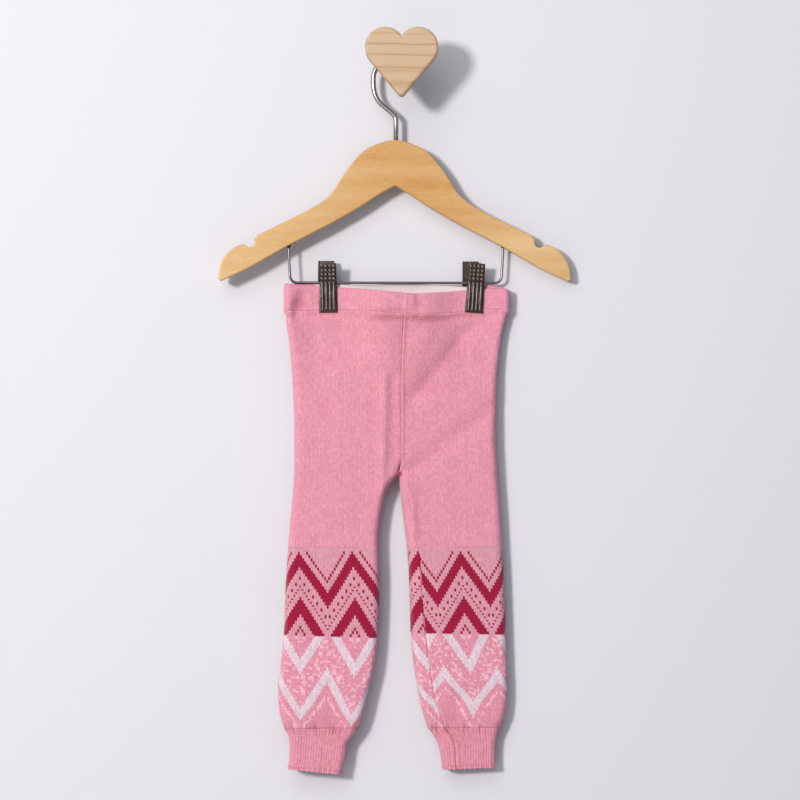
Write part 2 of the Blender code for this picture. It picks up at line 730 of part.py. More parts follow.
def add_clip_half(half, material, parent):
    """Sheet metal pressed into a shallow channel: thumb pad above the bar, jaw below it."""
    points = []
    for row in CLIP:
        tip = row.inner - row.flange
        outside = row.inner + CLIP_SHEET
        wide = row.half_width
        narrow = wide - CLIP_SHEET
        channel = [(-wide, tip), (-wide, outside), (wide, outside), (wide, tip),
                   (narrow, tip), (narrow, row.inner), (-narrow, row.inner), (-narrow, tip)]
        for x, depth in channel:
            points.append(Vector((x, half.side * depth, row.height)))
    corners = 8
    faces = []
    for row in range(len(CLIP) - 1):
        for corner in range(corners):
            other = (corner + 1) % corners
            faces.append([row * corners + corner, row * corners + other,
                          (row + 1) * corners + other, (row + 1) * corners + corner])
    for row in (0, len(CLIP) - 1):
        # the end of a channel is a U, so it is filled by its three straight legs
        first = row * corners
        faces.append([first, first + 1, first + 6, first + 7])
        faces.append([first + 1, first + 2, first + 5, first + 6])
        faces.append([first + 2, first + 3, first + 4, first + 5])
    piece = add_piece(half.name, points, faces, material, parent, 30.0)
    piece.location = Vector((half.x, 0.0, BAR_Z)) * MM
    piece.rotation_euler = (0.0, half.lean, 0.0)
    return piece


# ---------------------------------------------------------------- wall knob

def heart_outline():
    """Two round lobes and two straight sides that meet in a rounded tip."""
    lobe = Vector((HEART_LOBE_X, 0.0, HEART_LOBE_Z))
    side_way = Vector((math.cos(HEART_SIDE), 0.0, math.sin(HEART_SIDE)))
    side_reach = side_way.dot(lobe) + HEART_LOBE_RADIUS
    tip = Vector((0.0, 0.0, (side_reach - HEART_TIP_RADIUS) / side_way.z))
    notch_angle = math.acos(-HEART_LOBE_X / HEART_LOBE_RADIUS)
    half = arc(lobe, HEART_LOBE_RADIUS, notch_angle, HEART_SIDE, 16)
    half += arc(tip, HEART_TIP_RADIUS, HEART_SIDE, math.radians(-90), 3)
    right = [point + Vector((HEART_CENTRE_X, 0.0, 0.0)) for point in half]
    left = [Vector((HEART_CENTRE_X - point.x, 0.0, point.z)) for point in reversed(half[1:-1])]
    return right + left


def add_knob(material):
    front = HEART_BACK_Y - HEART_THICK
    add_board("knob_heart", heart_outline(), front, HEART_BACK_Y, HEART_EDGE, material, None)
    length = -HEART_BACK_Y - GAP
    bpy.ops.mesh.primitive_cylinder_add(vertices=28, radius=PEG_RADIUS * MM, depth=length * MM)
    peg = bpy.context.object
    peg.name = "knob_peg"
    peg.data.name = "knob_peg"
    peg.rotation_euler = (math.radians(90), 0.0, 0.0)
    peg.location = (0.0, -length / 2.0 * MM, 0.0)
    peg.data.materials.append(add_material("peg_wood", (0.55, 0.36, 0.19), 0.6))
    peg.data.shade_smooth()
    peg.data.set_sharp_from_angle(angle=math.radians(40))


def build():
    for old in list(bpy.data.objects):
        bpy.data.objects.remove(old, do_unlink=True)
    hanging = bpy.data.objects.new("hanging_frame", None)
    hanging.location = (0.0, HANG_Y * MM, 0.0)
    hanging.rotation_euler = (0.0, 0.0, HANGER_YAW)
    bpy.context.scene.collection.objects.link(hanging)

    add_leg("leg_left", -1, LEFT_LEG, add_material("left_leg_knit", (0.78, 0.33, 0.42), 0.95), hanging)
    add_leg("leg_right", 1, RIGHT_LEG, add_material("right_leg_knit", (0.76, 0.31, 0.40), 0.95), hanging)
    add_waistband(add_material("waistband_knit", (0.80, 0.36, 0.45), 0.95), hanging)
    left_rib = add_material("left_cuff_rib", (0.72, 0.28, 0.38), 0.95)
    right_rib = add_material("right_cuff_rib", (0.72, 0.28, 0.38), 0.95)
    add_cuff("cuff_left", -1, LEFT_CUFF, LEFT_CUFF_SLANT, left_rib, hanging)
    add_cuff("cuff_right", 1, RIGHT_CUFF, RIGHT_CUFF_SLANT, right_rib, hanging)
    add_hanger_body(add_material("hanger_wood", (0.70, 0.42, 0.17), 0.5), hanging)
    add_hook(add_material("hook_chrome", (0.62, 0.61, 0.60), 0.2, 1.0), hanging)
    add_trouser_bar(add_material("bar_chrome", (0.55, 0.54, 0.54), 0.22, 1.0), hanging)
    for half in CLIP_HALVES:
        add_clip_half(half, add_material(half.name + "_steel", (0.13, 0.11, 0.10), 0.35, 1.0), hanging)
    add_knob(add_material("heart_wood", (0.68, 0.46, 0.28), 0.55))


build()
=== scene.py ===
"""Baby knit leggings on a wooden clip hanger, hung from a heart-shaped wall knob: the surfaces.

Tables and sizes are millimetres, and MM turns them to metres when a mesh is made. +X is to the right of
someone facing the wall, -Y comes out of the wall towards them, and +Z is up. Left and right are as seen.
"""
import math
from collections import namedtuple

import bpy
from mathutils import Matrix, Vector, noise


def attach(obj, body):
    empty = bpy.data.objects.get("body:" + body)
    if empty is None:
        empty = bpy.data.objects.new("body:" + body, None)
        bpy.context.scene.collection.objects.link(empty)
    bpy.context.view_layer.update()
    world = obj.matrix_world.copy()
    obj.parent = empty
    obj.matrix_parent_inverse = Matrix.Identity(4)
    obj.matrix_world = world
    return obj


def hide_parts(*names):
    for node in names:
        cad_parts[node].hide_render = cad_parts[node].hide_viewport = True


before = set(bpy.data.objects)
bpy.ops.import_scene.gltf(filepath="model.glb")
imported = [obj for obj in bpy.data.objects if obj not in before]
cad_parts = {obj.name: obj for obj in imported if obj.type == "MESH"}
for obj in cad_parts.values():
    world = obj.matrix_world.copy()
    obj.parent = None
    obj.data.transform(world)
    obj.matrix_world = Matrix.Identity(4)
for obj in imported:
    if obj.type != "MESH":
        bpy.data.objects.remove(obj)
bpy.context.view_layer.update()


# ---------------------------------------------------------------- viewpoint
# The camera faces the wall squarely through a long lens, a little over two metres away. PHOTO_SPAN is
# what the photograph takes in at the leggings, which hang HANG_STAND_OFF in front of the wall.
MM = 0.001
CAMERA_DISTANCE = 2200.0
HANG_STAND_OFF = 14.0
PHOTO_SPAN = 676.0
PHOTO_MIDDLE_X = 3.4
PHOTO_MIDDLE_Z = -280.5
SENSOR = 36.0

camera_data = bpy.data.cameras.new("camera")
camera_data.sensor_width = SENSOR
camera_data.lens = SENSOR * (CAMERA_DISTANCE - HANG_STAND_OFF) / PHOTO_SPAN
camera = bpy.data.objects.new("camera", camera_data)
camera.location = Vector((PHOTO_MIDDLE_X, -CAMERA_DISTANCE, PHOTO_MIDDLE_Z)) * MM
camera.rotation_euler = (math.radians(90), 0.0, 0.0)
bpy.context.scene.collection.objects.link(camera)
bpy.context.scene.camera = camera
bpy.context.scene.view_settings.view_transform = "Standard"


# ---------------------------------------------------------------- wall, floor and light
# A smooth wall in matt pale-grey emulsion, and a pale floor under it. Seen from behind, the wall lets the
# view through. A softbox in front on the left casts the shadows, a large one above it fills them, so the
# wall is brightest at the top left, and the room gives the rest.
WALL_HALF = 4000.0
WALL_GAP = 0.4
FLOOR_Z = -1100.0
WALL_GREY = "#D0CFD5"
FLOOR_GREY = "#B9B5AF"
Softbox = namedtuple("Softbox", "name slope distance size watts")
SOFTBOXES = [
    Softbox("key_softbox", Vector((0.52, 1.0, -0.22)), 3200.0, 440.0, 78.0),   # slope read from shadows
    Softbox("fill_softbox", Vector((0.32, 1.0, -0.6)), 2200.0, 1700.0, 16.0),
]
ROOM_STRENGTH = 0.4
ROOM_COOL = "#D8EAFF"
KEY_WARM = "#FFFBF6"


def linear(hex_colour):
    """An sRGB hex colour as linear red, green, blue and alpha."""
    channels = [int(hex_colour[place:place + 2], 16) / 255.0 for place in (1, 3, 5)]
    return [c / 12.92 if c <= 0.04045 else ((c + 0.055) / 1.055) ** 2.4 for c in channels] + [1.0]


def set_inputs(tree, node, inputs):
    """Gives a node its inputs. Each is a value, or a socket to link from."""
    for name, value in inputs.items():
        if isinstance(value, bpy.types.NodeSocket):
            tree.links.new(value, node.inputs[name])
        else:
            node.inputs[name].default_value = value


def add_node(tree, kind, settings, inputs):
    """One shader node, with its settings and its inputs."""
    node = tree.nodes.new("ShaderNode" + kind)
    for name, value in settings.items():
        setattr(node, name, value)
    set_inputs(tree, node, inputs)
    return node


def new_material(name):
    """A material that has its output and a Principled shader."""
    material = bpy.data.materials.new(name)
    material.use_nodes = True
    return material


def set_surface(material, inputs):
    """Gives a material's Principled shader its inputs, and hands the material back."""
    tree = material.node_tree
    set_inputs(tree, tree.nodes["Principled BSDF"], inputs)
    return material


def link_object(name, data):
    """An object that shows some data in the scene."""
    item = bpy.data.objects.new(name, data)
    bpy.context.scene.collection.objects.link(item)
    return item


def emulsion_wall():
    """Matt emulsion paint: an even, faintly cool pale grey with no gloss, open from behind."""
    material = set_surface(new_material("matt_emulsion_wall"), {
        "Base Color": linear(WALL_GREY), "Roughness": 0.95, "Specular IOR Level": 0.1})
    tree = material.node_tree
    facing = add_node(tree, "NewGeometry", {}, {})
    clear = add_node(tree, "BsdfTransparent", {}, {})
    either = add_node(tree, "MixShader", {}, {
        0: facing.outputs["Backfacing"], 1: tree.nodes["Principled BSDF"].outputs[0],
        2: clear.outputs[0]})
    set_inputs(tree, tree.nodes["Material Output"], {"Surface": either.outputs[0]})
    return material


def pale_floor():
    """Pale painted boards, far below the picture."""
    return set_surface(new_material("pale_painted_floor"), {
        "Base Color": linear(FLOOR_GREY), "Roughness": 0.8})


def add_stage(name, corners, material):
    """A flat piece of the room, from its corners in millimetres."""
    mesh = bpy.data.meshes.new(name)
    mesh.from_pydata([Vector(corner) * MM for corner in corners], [], [(0, 1, 2, 3)])
    mesh.materials.append(material)
    link_object(name, mesh)


add_stage("wall", [(-WALL_HALF, WALL_GAP, FLOOR_Z), (WALL_HALF, WALL_GAP, FLOOR_Z),
                   (WALL_HALF, WALL_GAP, WALL_HALF), (-WALL_HALF, WALL_GAP, WALL_HALF)], emulsion_wall())
add_stage("floor", [(-WALL_HALF, -WALL_HALF, FLOOR_Z), (WALL_HALF, -WALL_HALF, FLOOR_Z),
                    (WALL_HALF, WALL_HALF, FLOOR_Z), (-WALL_HALF, WALL_HALF, FLOOR_Z)], pale_floor())

for softbox in SOFTBOXES:
    lamp_data = bpy.data.lights.new(softbox.name, "AREA")
    lamp_data.shape = "DISK"
    lamp_data.size = softbox.size * MM
    lamp_data.energy = softbox.watts
    lamp_data.color = linear(KEY_WARM)[:3]
    lamp = link_object(softbox.name, lamp_data)
    way = softbox.slope.normalized()
    lamp.location = (Vector((PHOTO_MIDDLE_X, 0.0, PHOTO_MIDDLE_Z)) - way * softbox.distance) * MM
    lamp.rotation_euler = way.to_track_quat("-Z", "Y").to_euler()

room = bpy.data.worlds.new("room")
room.use_nodes = True
set_inputs(room.node_tree, room.node_tree.nodes["Background"], {
    "Color": linear(ROOM_COOL), "Strength": ROOM_STRENGTH})
bpy.context.scene.world = room


# ---------------------------------------------------------------- wall knob
# A heart sawn from 16 mm sanded pine, its grain lying level, on a short turned peg that is screwed to
# the wall. The wood is bare: matt and pale, with tan late-wood lines, its edges rounded over.
HEART_BACK_Y = -43.0
HEART_THICK = 16.0
HEART_MIDDLE_X = 4.8
HEART_LOBE_X = 13.8
HEART_LOBE_Z = 12.2
HEART_LOBE_RADIUS = 16.6
HEART_SIDE = math.radians(-40)
HEART_TIP_RADIUS = 3.2
HEART_EDGE = 2.4
PEG_RADIUS = 7.0
PEG_CHAMFER = 0.8
PINE_LIGHT = "#BCA083"
PINE_TAN = "#AA845E"
PINE_WAVER = 45.45               # its lines waver once in this length
PINE_BEND = 4.4                  # and by this much
PINE_PORE = (16.667, 16.667, 0.66667)
GRAIN_FADE = 1.7                 # half-widths over which a late-wood line fades out
# late-wood lines of the heart: height above the peg's axis, half-width, and depth of tone
GrainRow = namedtuple("GrainRow", "z half_width tone")
HEART_GRAIN = [
    GrainRow(22.8, 1.0, 0.45),
    GrainRow(14.3, 1.0, 0.8),
    GrainRow(5.2, 1.0, 0.8),
    GrainRow(-5.7, 1.3, 0.7),
    GrainRow(-8.6, 1.6, 0.45),
    GrainRow(-18.8, 2.8, 0.7),
]


def mix(a, b, t):
    """The value that lies a share t of the way from a to b."""
    return a + (b - a) * t


def upright(x, z):
    """A point or a way in the upright plane that the boards and wires lie in."""
    return Vector((x, 0.0, z))


def arc(centre, radius, start, end, steps):
    """Points along a round stretch in the upright plane."""
    points = []
    for step in range(steps + 1):
        angle = mix(start, end, step / steps)
        points.append(centre + radius * upright(math.cos(angle), math.sin(angle)))
    return points


def add_mesh(name, points, faces, materials, replaced):
    """One shown piece, from points in millimetres, standing for the named solid."""
    mesh = bpy.data.meshes.new(name)
    mesh.from_pydata([point * MM for point in points], [], faces)
    for material in materials:
        mesh.materials.append(material)
    mesh.shade_smooth()
    piece = link_object(name, mesh)
    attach(piece, "root")
    for node in replaced:
        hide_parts(node)
    return piece


def closed_faces(rings, around):
    """Faces that join rings of points into a closed body: the quads between them, then its two ends."""
    faces = []
    for ring in range(rings - 1):
        for place in range(around):
            other = (place + 1) % around
            faces.append([ring * around + place, ring * around + other,
                          (ring + 1) * around + other, (ring + 1) * around + place])
    faces.append([place for place in reversed(range(around))])
    faces.append([(rings - 1) * around + place for place in range(around)])
    return faces


def board_mesh(outline, y_front, y_back, edge, rounds):
    """Points and faces of a board cut to an upright outline, its edges rounded over."""
    count = len(outline)
    area = sum(outline[n - 1].x * outline[n].z - outline[n].x * outline[n - 1].z for n in range(count))
    turn = 1.0 if area > 0.0 else -1.0
    outward = []
    for place in range(count):
        along = outline[(place + 1) % count] - outline[place - 1]
        outward.append(upright(along.z, -along.x).normalized() * turn)
    slices = []
    for step in range(rounds + 1):
        angle = 0.5 * math.pi * (1.0 - step / rounds)
        slices.append((y_front + edge * (1.0 - math.sin(angle)), edge * (1.0 - math.cos(angle))))
    slices += [(y_front + y_back - y, inset) for y, inset in reversed(slices)]
    points = []
    for y, inset in slices:
        for point, way in zip(outline, outward):
            points.append(Vector((point.x, y, point.z)) - way * inset)
    faces = closed_faces(len(slices), count)
    if turn > 0.0:
        faces = [face[::-1] for face in faces]
    return points, faces


def heart_outline():
    """Two round lobes and two straight sides that meet in a rounded tip."""
    lobe = upright(HEART_LOBE_X, HEART_LOBE_Z)
    side_way = upright(math.cos(HEART_SIDE), math.sin(HEART_SIDE))
    reach = side_way.dot(lobe) + HEART_LOBE_RADIUS
    tip = upright(0.0, (reach - HEART_TIP_RADIUS) / side_way.z)
    notch_angle = math.acos(-HEART_LOBE_X / HEART_LOBE_RADIUS)
    half = arc(lobe, HEART_LOBE_RADIUS, notch_angle, HEART_SIDE, steps=56)
    half += arc(tip, HEART_TIP_RADIUS, HEART_SIDE, math.radians(-90), steps=8)
    right = [point + upright(HEART_MIDDLE_X, 0.0) for point in half]
    left = [upright(HEART_MIDDLE_X - point.x, point.z) for point in reversed(half[1:-1])]
    return right + left


def scales(sizes):
    """A texture's scale along X, Y and Z, from the size of its grain in millimetres."""
    return [1.0 / (size * MM) for size in sizes]


def sanded_pine():
    """Sanded pine: matt, pale straw, with soft-edged tan late-wood lines and fine level pores."""
    material = new_material("sanded_pine")
    tree = material.node_tree
    place = add_node(tree, "TexCoord", {}, {}).outputs["Object"]
    waver = add_node(tree, "TexNoise", {}, {
        "Vector": place, "Scale": 1.0 / (PINE_WAVER * MM), "Detail": 2.0})
    bend = add_node(tree, "Math", {"operation": "MULTIPLY_ADD"}, {
        0: waver.outputs["Fac"], 1: PINE_BEND * MM, 2: -0.5 * PINE_BEND * MM})
    height = add_node(tree, "SeparateXYZ", {}, {0: place}).outputs["Z"]
    bent = add_node(tree, "Math", {}, {0: height, 1: bend.outputs[0]}).outputs[0]
    tone = 0.0
    for row in HEART_GRAIN:
        off = add_node(tree, "Math", {"operation": "SUBTRACT"}, {0: bent, 1: row.z * MM})
        far = add_node(tree, "Math", {"operation": "ABSOLUTE"}, {0: off.outputs[0]})
        line = add_node(tree, "MapRange", {"interpolation_type": "SMOOTHSTEP"}, {
            "Value": far.outputs[0], "From Min": 0.0, "From Max": GRAIN_FADE * row.half_width * MM,
            "To Min": row.tone, "To Max": 0.0})
        tone = add_node(tree, "Math", {"operation": "MAXIMUM"}, {
            0: line.outputs["Result"], 1: tone}).outputs[0]
    stretched = add_node(tree, "Mapping", {}, {"Vector": place, "Scale": scales(PINE_PORE)})
    pores = add_node(tree, "TexNoise", {}, {
        "Vector": stretched.outputs[0], "Scale": 1.0, "Detail": 3.0}).outputs["Fac"]
    shade = add_node(tree, "MapRange", {}, {
        "Value": pores, "From Min": 0.3, "From Max": 0.7, "To Min": -0.12, "To Max": 0.16})
    total = add_node(tree, "Math", {"use_clamp": True}, {0: tone, 1: shade.outputs["Result"]})
    colour = add_node(tree, "Mix", {"data_type": "RGBA"}, {
        0: total.outputs[0], 6: linear(PINE_LIGHT), 7: linear(PINE_TAN)})
    bump = add_node(tree, "Bump", {}, {"Strength": 0.25, "Distance": 0.3 * MM, "Height": pores})
    return set_surface(material, {
        "Base Color": colour.outputs[2], "Normal": bump.outputs[0],
        "Roughness": 0.62, "Specular IOR Level": 0.35})


def add_board(name, points, faces, material, replaced):
    """A board whose two broad faces, the last in its list, are flat."""
    board = add_mesh(name, points, faces, [material], replaced)
    for polygon in board.data.polygons[-2:]:
        polygon.use_smooth = False


pine = sanded_pine()
points, faces = board_mesh(heart_outline(), HEART_BACK_Y - HEART_THICK, HEART_BACK_Y, HEART_EDGE,
                           rounds=5)
add_board("heart", points, faces, pine, ["knob_heart"])

# the peg: a turned rod with small chamfers, spun from its outline, which ends just short of the heart
GAP = 0.3
PegRow = namedtuple("PegRow", "y radius")
PEG = [
    PegRow(0.0, PEG_RADIUS - PEG_CHAMFER),
    PegRow(-PEG_CHAMFER, PEG_RADIUS),
    PegRow(HEART_BACK_Y + GAP + PEG_CHAMFER, PEG_RADIUS),
    PegRow(HEART_BACK_Y + GAP, PEG_RADIUS - PEG_CHAMFER),
]
PEG_SIDES = 48
CHAMFER_ANGLE = math.radians(35)  # edges that turn by more than this stay sharp


def turned_mesh(rows, sides):
    """Points and faces of a rod spun about the Y axis."""
    points = []
    for row in rows:
        for side in range(sides):
            angle = 2.0 * math.pi * side / sides
            points.append(Vector((row.radius * math.cos(angle), row.y, row.radius * math.sin(angle))))
    return points, closed_faces(len(rows), sides)


points, faces = turned_mesh(PEG, PEG_SIDES)
peg = add_mesh("peg", points, faces, [pine], ["knob_peg"])
peg.data.set_sharp_from_angle(angle=CHAMFER_ANGLE)


# ---------------------------------------------------------------- hanger wood
# A child's trouser hanger sawn from 12 mm pale hardwood, sanded, its edges eased, and sprayed with a
# clear satin varnish. The grain runs level and is faint. A small round cut near each tip holds loops.
HANG_Y = -14.0
HANGER_YAW = math.radians(2.4)
WOOD_MIDDLE_X = -1.0
WOOD_THICK = 12.0
WOOD_EDGE = 1.1
NOTCH_OUT = 122.4
NOTCH_Z = -147.4
NOTCH_RADIUS = 4.4
TIP_OUT = 146.4
TIP_Z = -177.6
TIP_RADIUS = 2.4
BEECH_LIGHT = "#D4B281"
BEECH_DARK = "#B57B2A"
BEECH_FIGURE = (142.86, 50.0, 18.18)
BEECH_FLECK = (6.25, 2.5, 0.625)
HEARTWOOD_FROM = 20.0            # how far out the board is at its darkest
HEARTWOOD_TO = 100.0             # and at its lightest
WoodRow = namedtuple("WoodRow", "out z")
WOOD_TOP = [
    WoodRow(0.0, -61.0), WoodRow(10.0, -63.0), WoodRow(26.5, -70.8), WoodRow(41.7, -88.1),
    WoodRow(51.4, -103.6), WoodRow(62.1, -114.0), WoodRow(78.3, -123.2), WoodRow(104.0, -135.9),
    WoodRow(115.6, -141.7),
]
WOOD_SHOULDER = [
    WoodRow(128.8, -149.2), WoodRow(133.0, -150.9), WoodRow(139.0, -154.9),
    WoodRow(144.8, -161.8), WoodRow(147.8, -169.6),
]
WOOD_FOOT = [
    WoodRow(133.0, -173.9), WoodRow(121.4, -168.4), WoodRow(90.2, -150.7), WoodRow(56.7, -133.4),
    WoodRow(30.0, -118.2), WoodRow(13.6, -107.4), WoodRow(0.0, -99.8),
]


def hung(point):
    """A point of the hanger or the leggings, from their own upright plane to the wall's frame."""
    turned_x = point.x * math.cos(HANGER_YAW) - point.y * math.sin(HANGER_YAW)
    turned_y = point.x * math.sin(HANGER_YAW) + point.y * math.cos(HANGER_YAW)
    return Vector((turned_x, turned_y + HANG_Y, point.z))


def smooth_path(points, steps):
    """Points along a smooth curve through the given ones."""
    path = []
    padded = [points[0]] + list(points) + [points[-1]]
    for a, b, c, d in zip(padded, padded[1:], padded[2:], padded[3:]):
        for step in range(steps):
            t = step / steps
            path.append(0.5 * ((2 * b) + (c - a) * t + (2 * a - 5 * b + 4 * c - d) * t * t
                               + (3 * b - a - 3 * c + d) * t ** 3))
    path.append(points[-1])
    return path


def wood_outline():
    """The hanger's outline, once round, starting at the top of the middle."""
    def smooth_edge(rows):
        return smooth_path([upright(row.out, row.z) for row in rows], steps=5)

    notch = arc(upright(NOTCH_OUT, NOTCH_Z), NOTCH_RADIUS, math.radians(150), math.radians(320), steps=12)
    tip = arc(upright(TIP_OUT, TIP_Z), TIP_RADIUS, math.radians(5), math.radians(-115), steps=8)
    half = smooth_edge(WOOD_TOP) + notch + smooth_edge(WOOD_SHOULDER) + tip + smooth_edge(WOOD_FOOT)
    right = [upright(WOOD_MIDDLE_X + point.x, point.z) for point in half]
    left = [upright(WOOD_MIDDLE_X - point.x, point.z) for point in reversed(half[1:-1])]
    return right + left


def varnished_beech():
    """Beech under satin varnish: honey-coloured, even, with faint level figure and small flecks."""
    material = new_material("varnished_beech")
    tree = material.node_tree
    place = add_node(tree, "TexCoord", {}, {}).outputs["Object"]
    broad = add_node(tree, "Mapping", {}, {"Vector": place, "Scale": scales(BEECH_FIGURE)})
    figure = add_node(tree, "TexNoise", {}, {
        "Vector": broad.outputs[0], "Scale": 1.0, "Detail": 4.0, "Roughness": 0.6})
    fine = add_node(tree, "Mapping", {}, {"Vector": place, "Scale": scales(BEECH_FLECK)})
    flecks = add_node(tree, "TexNoise", {}, {
        "Vector": fine.outputs[0], "Scale": 1.0, "Detail": 2.0}).outputs["Fac"]
    both = add_node(tree, "Mix", {"data_type": "FLOAT"}, {0: 0.35, 2: figure.outputs["Fac"], 3: flecks})
    figured = add_node(tree, "MapRange", {}, {
        "Value": both.outputs[0], "From Min": 0.2, "From Max": 0.8})
    # the board is darkest in its middle
    across_board = add_node(tree, "SeparateXYZ", {}, {0: place}).outputs["X"]
    out = add_node(tree, "Math", {"operation": "ABSOLUTE"}, {0: across_board})
    heartwood = add_node(tree, "MapRange", {}, {
        "Value": out.outputs[0], "From Min": HEARTWOOD_FROM * MM, "From Max": HEARTWOOD_TO * MM,
        "To Min": 0.22, "To Max": -0.16})
    share = add_node(tree, "Math", {"use_clamp": True}, {
        0: figured.outputs["Result"], 1: heartwood.outputs["Result"]})
    colour = add_node(tree, "Mix", {"data_type": "RGBA"}, {
        0: share.outputs[0], 6: linear(BEECH_LIGHT), 7: linear(BEECH_DARK)})
    bump = add_node(tree, "Bump", {}, {"Strength": 0.15, "Distance": 0.2 * MM, "Height": flecks})
    return set_surface(material, {
        "Base Color": colour.outputs[2], "Normal": bump.outputs[0],
        "Roughness": 0.42, "Coat Weight": 0.25, "Coat Roughness": 0.3})


half_thick = WOOD_THICK / 2.0
points, faces = board_mesh(wood_outline(), -half_thick, half_thick, WOOD_EDGE, rounds=4)
add_board("hanger_wood", [hung(point) for point in points], faces, varnished_beech(),
          ["hanger_body"])


# ---------------------------------------------------------------- hook and trouser bar
# Both are steel wire, bent cold: 4.2 mm and bright plated for the hook, screwed into the top of the
# wood, and 2.2 mm plain drawn steel for the bar, whose ends are pushed up into the wood's underside.
HOOK_RADIUS = 2.1
HOOK_FOOT_Z = -74.0
CROOK_RADIUS = 19.2
CROOK_END = math.radians(16)
CROOK_MIDDLE_Z = PEG_RADIUS + GAP + HOOK_RADIUS - CROOK_RADIUS
BAR_Z = -181.5
BAR_RADIUS = 1.1
BAR_FOOT_X = 89.5
BAR_TOP_X = 90.7
BAR_CORNER = 6.0
BAR_TOP_Z = -141.0
BAR_BEND_Z = -153.0
PLATED = "#A29C9A"
DRAWN_GREY = "#7A7577"
DRAWING_MARK = 1.1111            # the real marks are finer: these are coarse enough to show
WIRE_DOME = (20.0, 40.0, 60.0, 78.0)  # angles at which a wire's domed end has a ring
BORE_SHADE_BROWN = "#4A2E1C"
BORE_RADIUS = 1.9                # a dark piece of painted shade, where each bore in the wood shows round the bar
BORE_TOP_Z = -146.0
BORE_FOOT_Z = -150.6
HookRow = namedtuple("HookRow", "x z")
HOOK_BEND = [
    HookRow(0.0, -46.0), HookRow(-0.6, -41.6), HookRow(-3.9, -37.8), HookRow(-9.2, -33.4),
    HookRow(-14.2, -28.8), HookRow(-17.6, -22.6), HookRow(-19.0, -15.8),
]


def wire_mesh(path, radius, sides):
    """Points and faces of a round wire along an upright path, its far end domed."""
    level = Vector((0.0, 1.0, 0.0))
    rings = []
    for place, middle in enumerate(path):
        along = (path[min(len(path) - 1, place + 1)] - path[max(0, place - 1)]).normalized()
        rings.append((middle, level.cross(along), radius))
    middle, aside, _ = rings[-1]
    along = aside.cross(level)
    for angle in WIRE_DOME:
        rings.append((middle + along * radius * math.sin(math.radians(angle)), aside,
                      radius * math.cos(math.radians(angle))))
    points = []
    for middle, aside, size in rings:
        for side in range(sides):
            angle = 2.0 * math.pi * side / sides
            points.append(middle + size * (math.cos(angle) * aside + math.sin(angle) * level))
    return points, closed_faces(len(rings), sides)


def drawn_steel(name, colour, smoothest, roughest):
    """Drawn wire: metal that mirrors the room, blurred a little by fine drawing marks."""
    material = new_material(name)
    tree = material.node_tree
    place = add_node(tree, "TexCoord", {}, {}).outputs["Object"]
    marks = add_node(tree, "TexNoise", {}, {
        "Vector": place, "Scale": 1.0 / (DRAWING_MARK * MM), "Detail": 2.0})
    rough = add_node(tree, "MapRange", {}, {
        "Value": marks.outputs["Fac"], "To Min": smoothest, "To Max": roughest})
    return set_surface(material, {
        "Base Color": linear(colour), "Metallic": 1.0, "Roughness": rough.outputs["Result"]})


plated_steel = drawn_steel("bright_plated_steel", PLATED, 0.24, 0.4)
plain_steel = drawn_steel("plain_drawn_steel", DRAWN_GREY, 0.22, 0.4)
bend = smooth_path([upright(row.x, row.z) for row in HOOK_BEND], steps=6)
crook = arc(upright(0.0, CROOK_MIDDLE_Z), CROOK_RADIUS, math.pi, CROOK_END, steps=60)
points, faces = wire_mesh([upright(0.0, HOOK_FOOT_Z)] + bend + crook, HOOK_RADIUS, sides=20)
add_mesh("hook", [hung(point) for point in points], faces, [plated_steel],
         ["hanger_hook"])

# painted shade: a dark brown piece round each bar end, for the shade in its bore in the wood
shaded_bore = set_surface(new_material("shaded_bore"), {
    "Base Color": linear(BORE_SHADE_BROWN), "Roughness": 0.9})
for number, x in enumerate((-BAR_TOP_X, BAR_TOP_X)):
    points, faces = wire_mesh([upright(x, BORE_TOP_Z), upright(x, BORE_FOOT_Z)], BORE_RADIUS, sides=12)
    add_mesh("bar_bore_shade_%d" % number, [hung(point) for point in points], faces, [shaded_bore],
             [])

left_corner = upright(BAR_CORNER - BAR_FOOT_X, BAR_Z + BAR_CORNER)
right_corner = upright(BAR_FOOT_X - BAR_CORNER, BAR_Z + BAR_CORNER)
bar_path = [upright(-BAR_TOP_X, BAR_TOP_Z), upright(-BAR_TOP_X, BAR_BEND_Z)]
bar_path += arc(left_corner, BAR_CORNER, math.pi, 1.5 * math.pi, steps=14)
bar_path += [upright(0.0, BAR_Z)]
bar_path += arc(right_corner, BAR_CORNER, 1.5 * math.pi, 2.0 * math.pi, steps=14)
bar_path += [upright(BAR_TOP_X, BAR_BEND_Z), upright(BAR_TOP_X, BAR_TOP_Z)]
points, faces = wire_mesh(bar_path, BAR_RADIUS, sides=16)
add_mesh("bar", [hung(point) for point in points], faces, [plain_steel],
         ["trouser_bar"])


# ---------------------------------------------------------------- clips
# Each clip is two halves pressed from 0.8 mm steel and dark nickel plated, hinged on the bar, with a
# spring coiled round it. The pads are pressed with four columns of dots for the thumb, and the jaws
# with four upright ribs.
CLIP_SHEET = 0.8
CLIP_STEP = 0.32                 # mesh spacing of the pressed faces
CLIP_EDGE = 1.0                  # rounding of the plate's long edges
LIP_TOP = 1.2                    # how far from the plate's ends its lips start to roll over
LIP_FOOT = 0.8
LIP_SLOPE = 0.35
CLIP_THINNEST = 0.1
RIB_COUNT = 4
RIB_PITCH = 3.2
RIB_HALF = 1.15
RIB_HIGH = 0.75
RIB_TOP = 0.3
RIB_FOOT = -23.6
DOT_COLUMNS = (-5.0, -1.7, 1.9, 5.0)
DOT_ROWS = (13.4, 9.8, 6.3, 2.8)
DOT_RADIUS = 1.35
DOT_HIGH = 0.65
SPRING_RADIUS = 2.3
SPRING_WIRE = 0.45
SPRING_TURNS = 6
SPRING_HALF = 4.5                # half its length along the bar
SPRING_POINTS = 16               # to each turn
GUNMETAL = "#524541"
GUNMETAL_RAISED = "#6C615D"
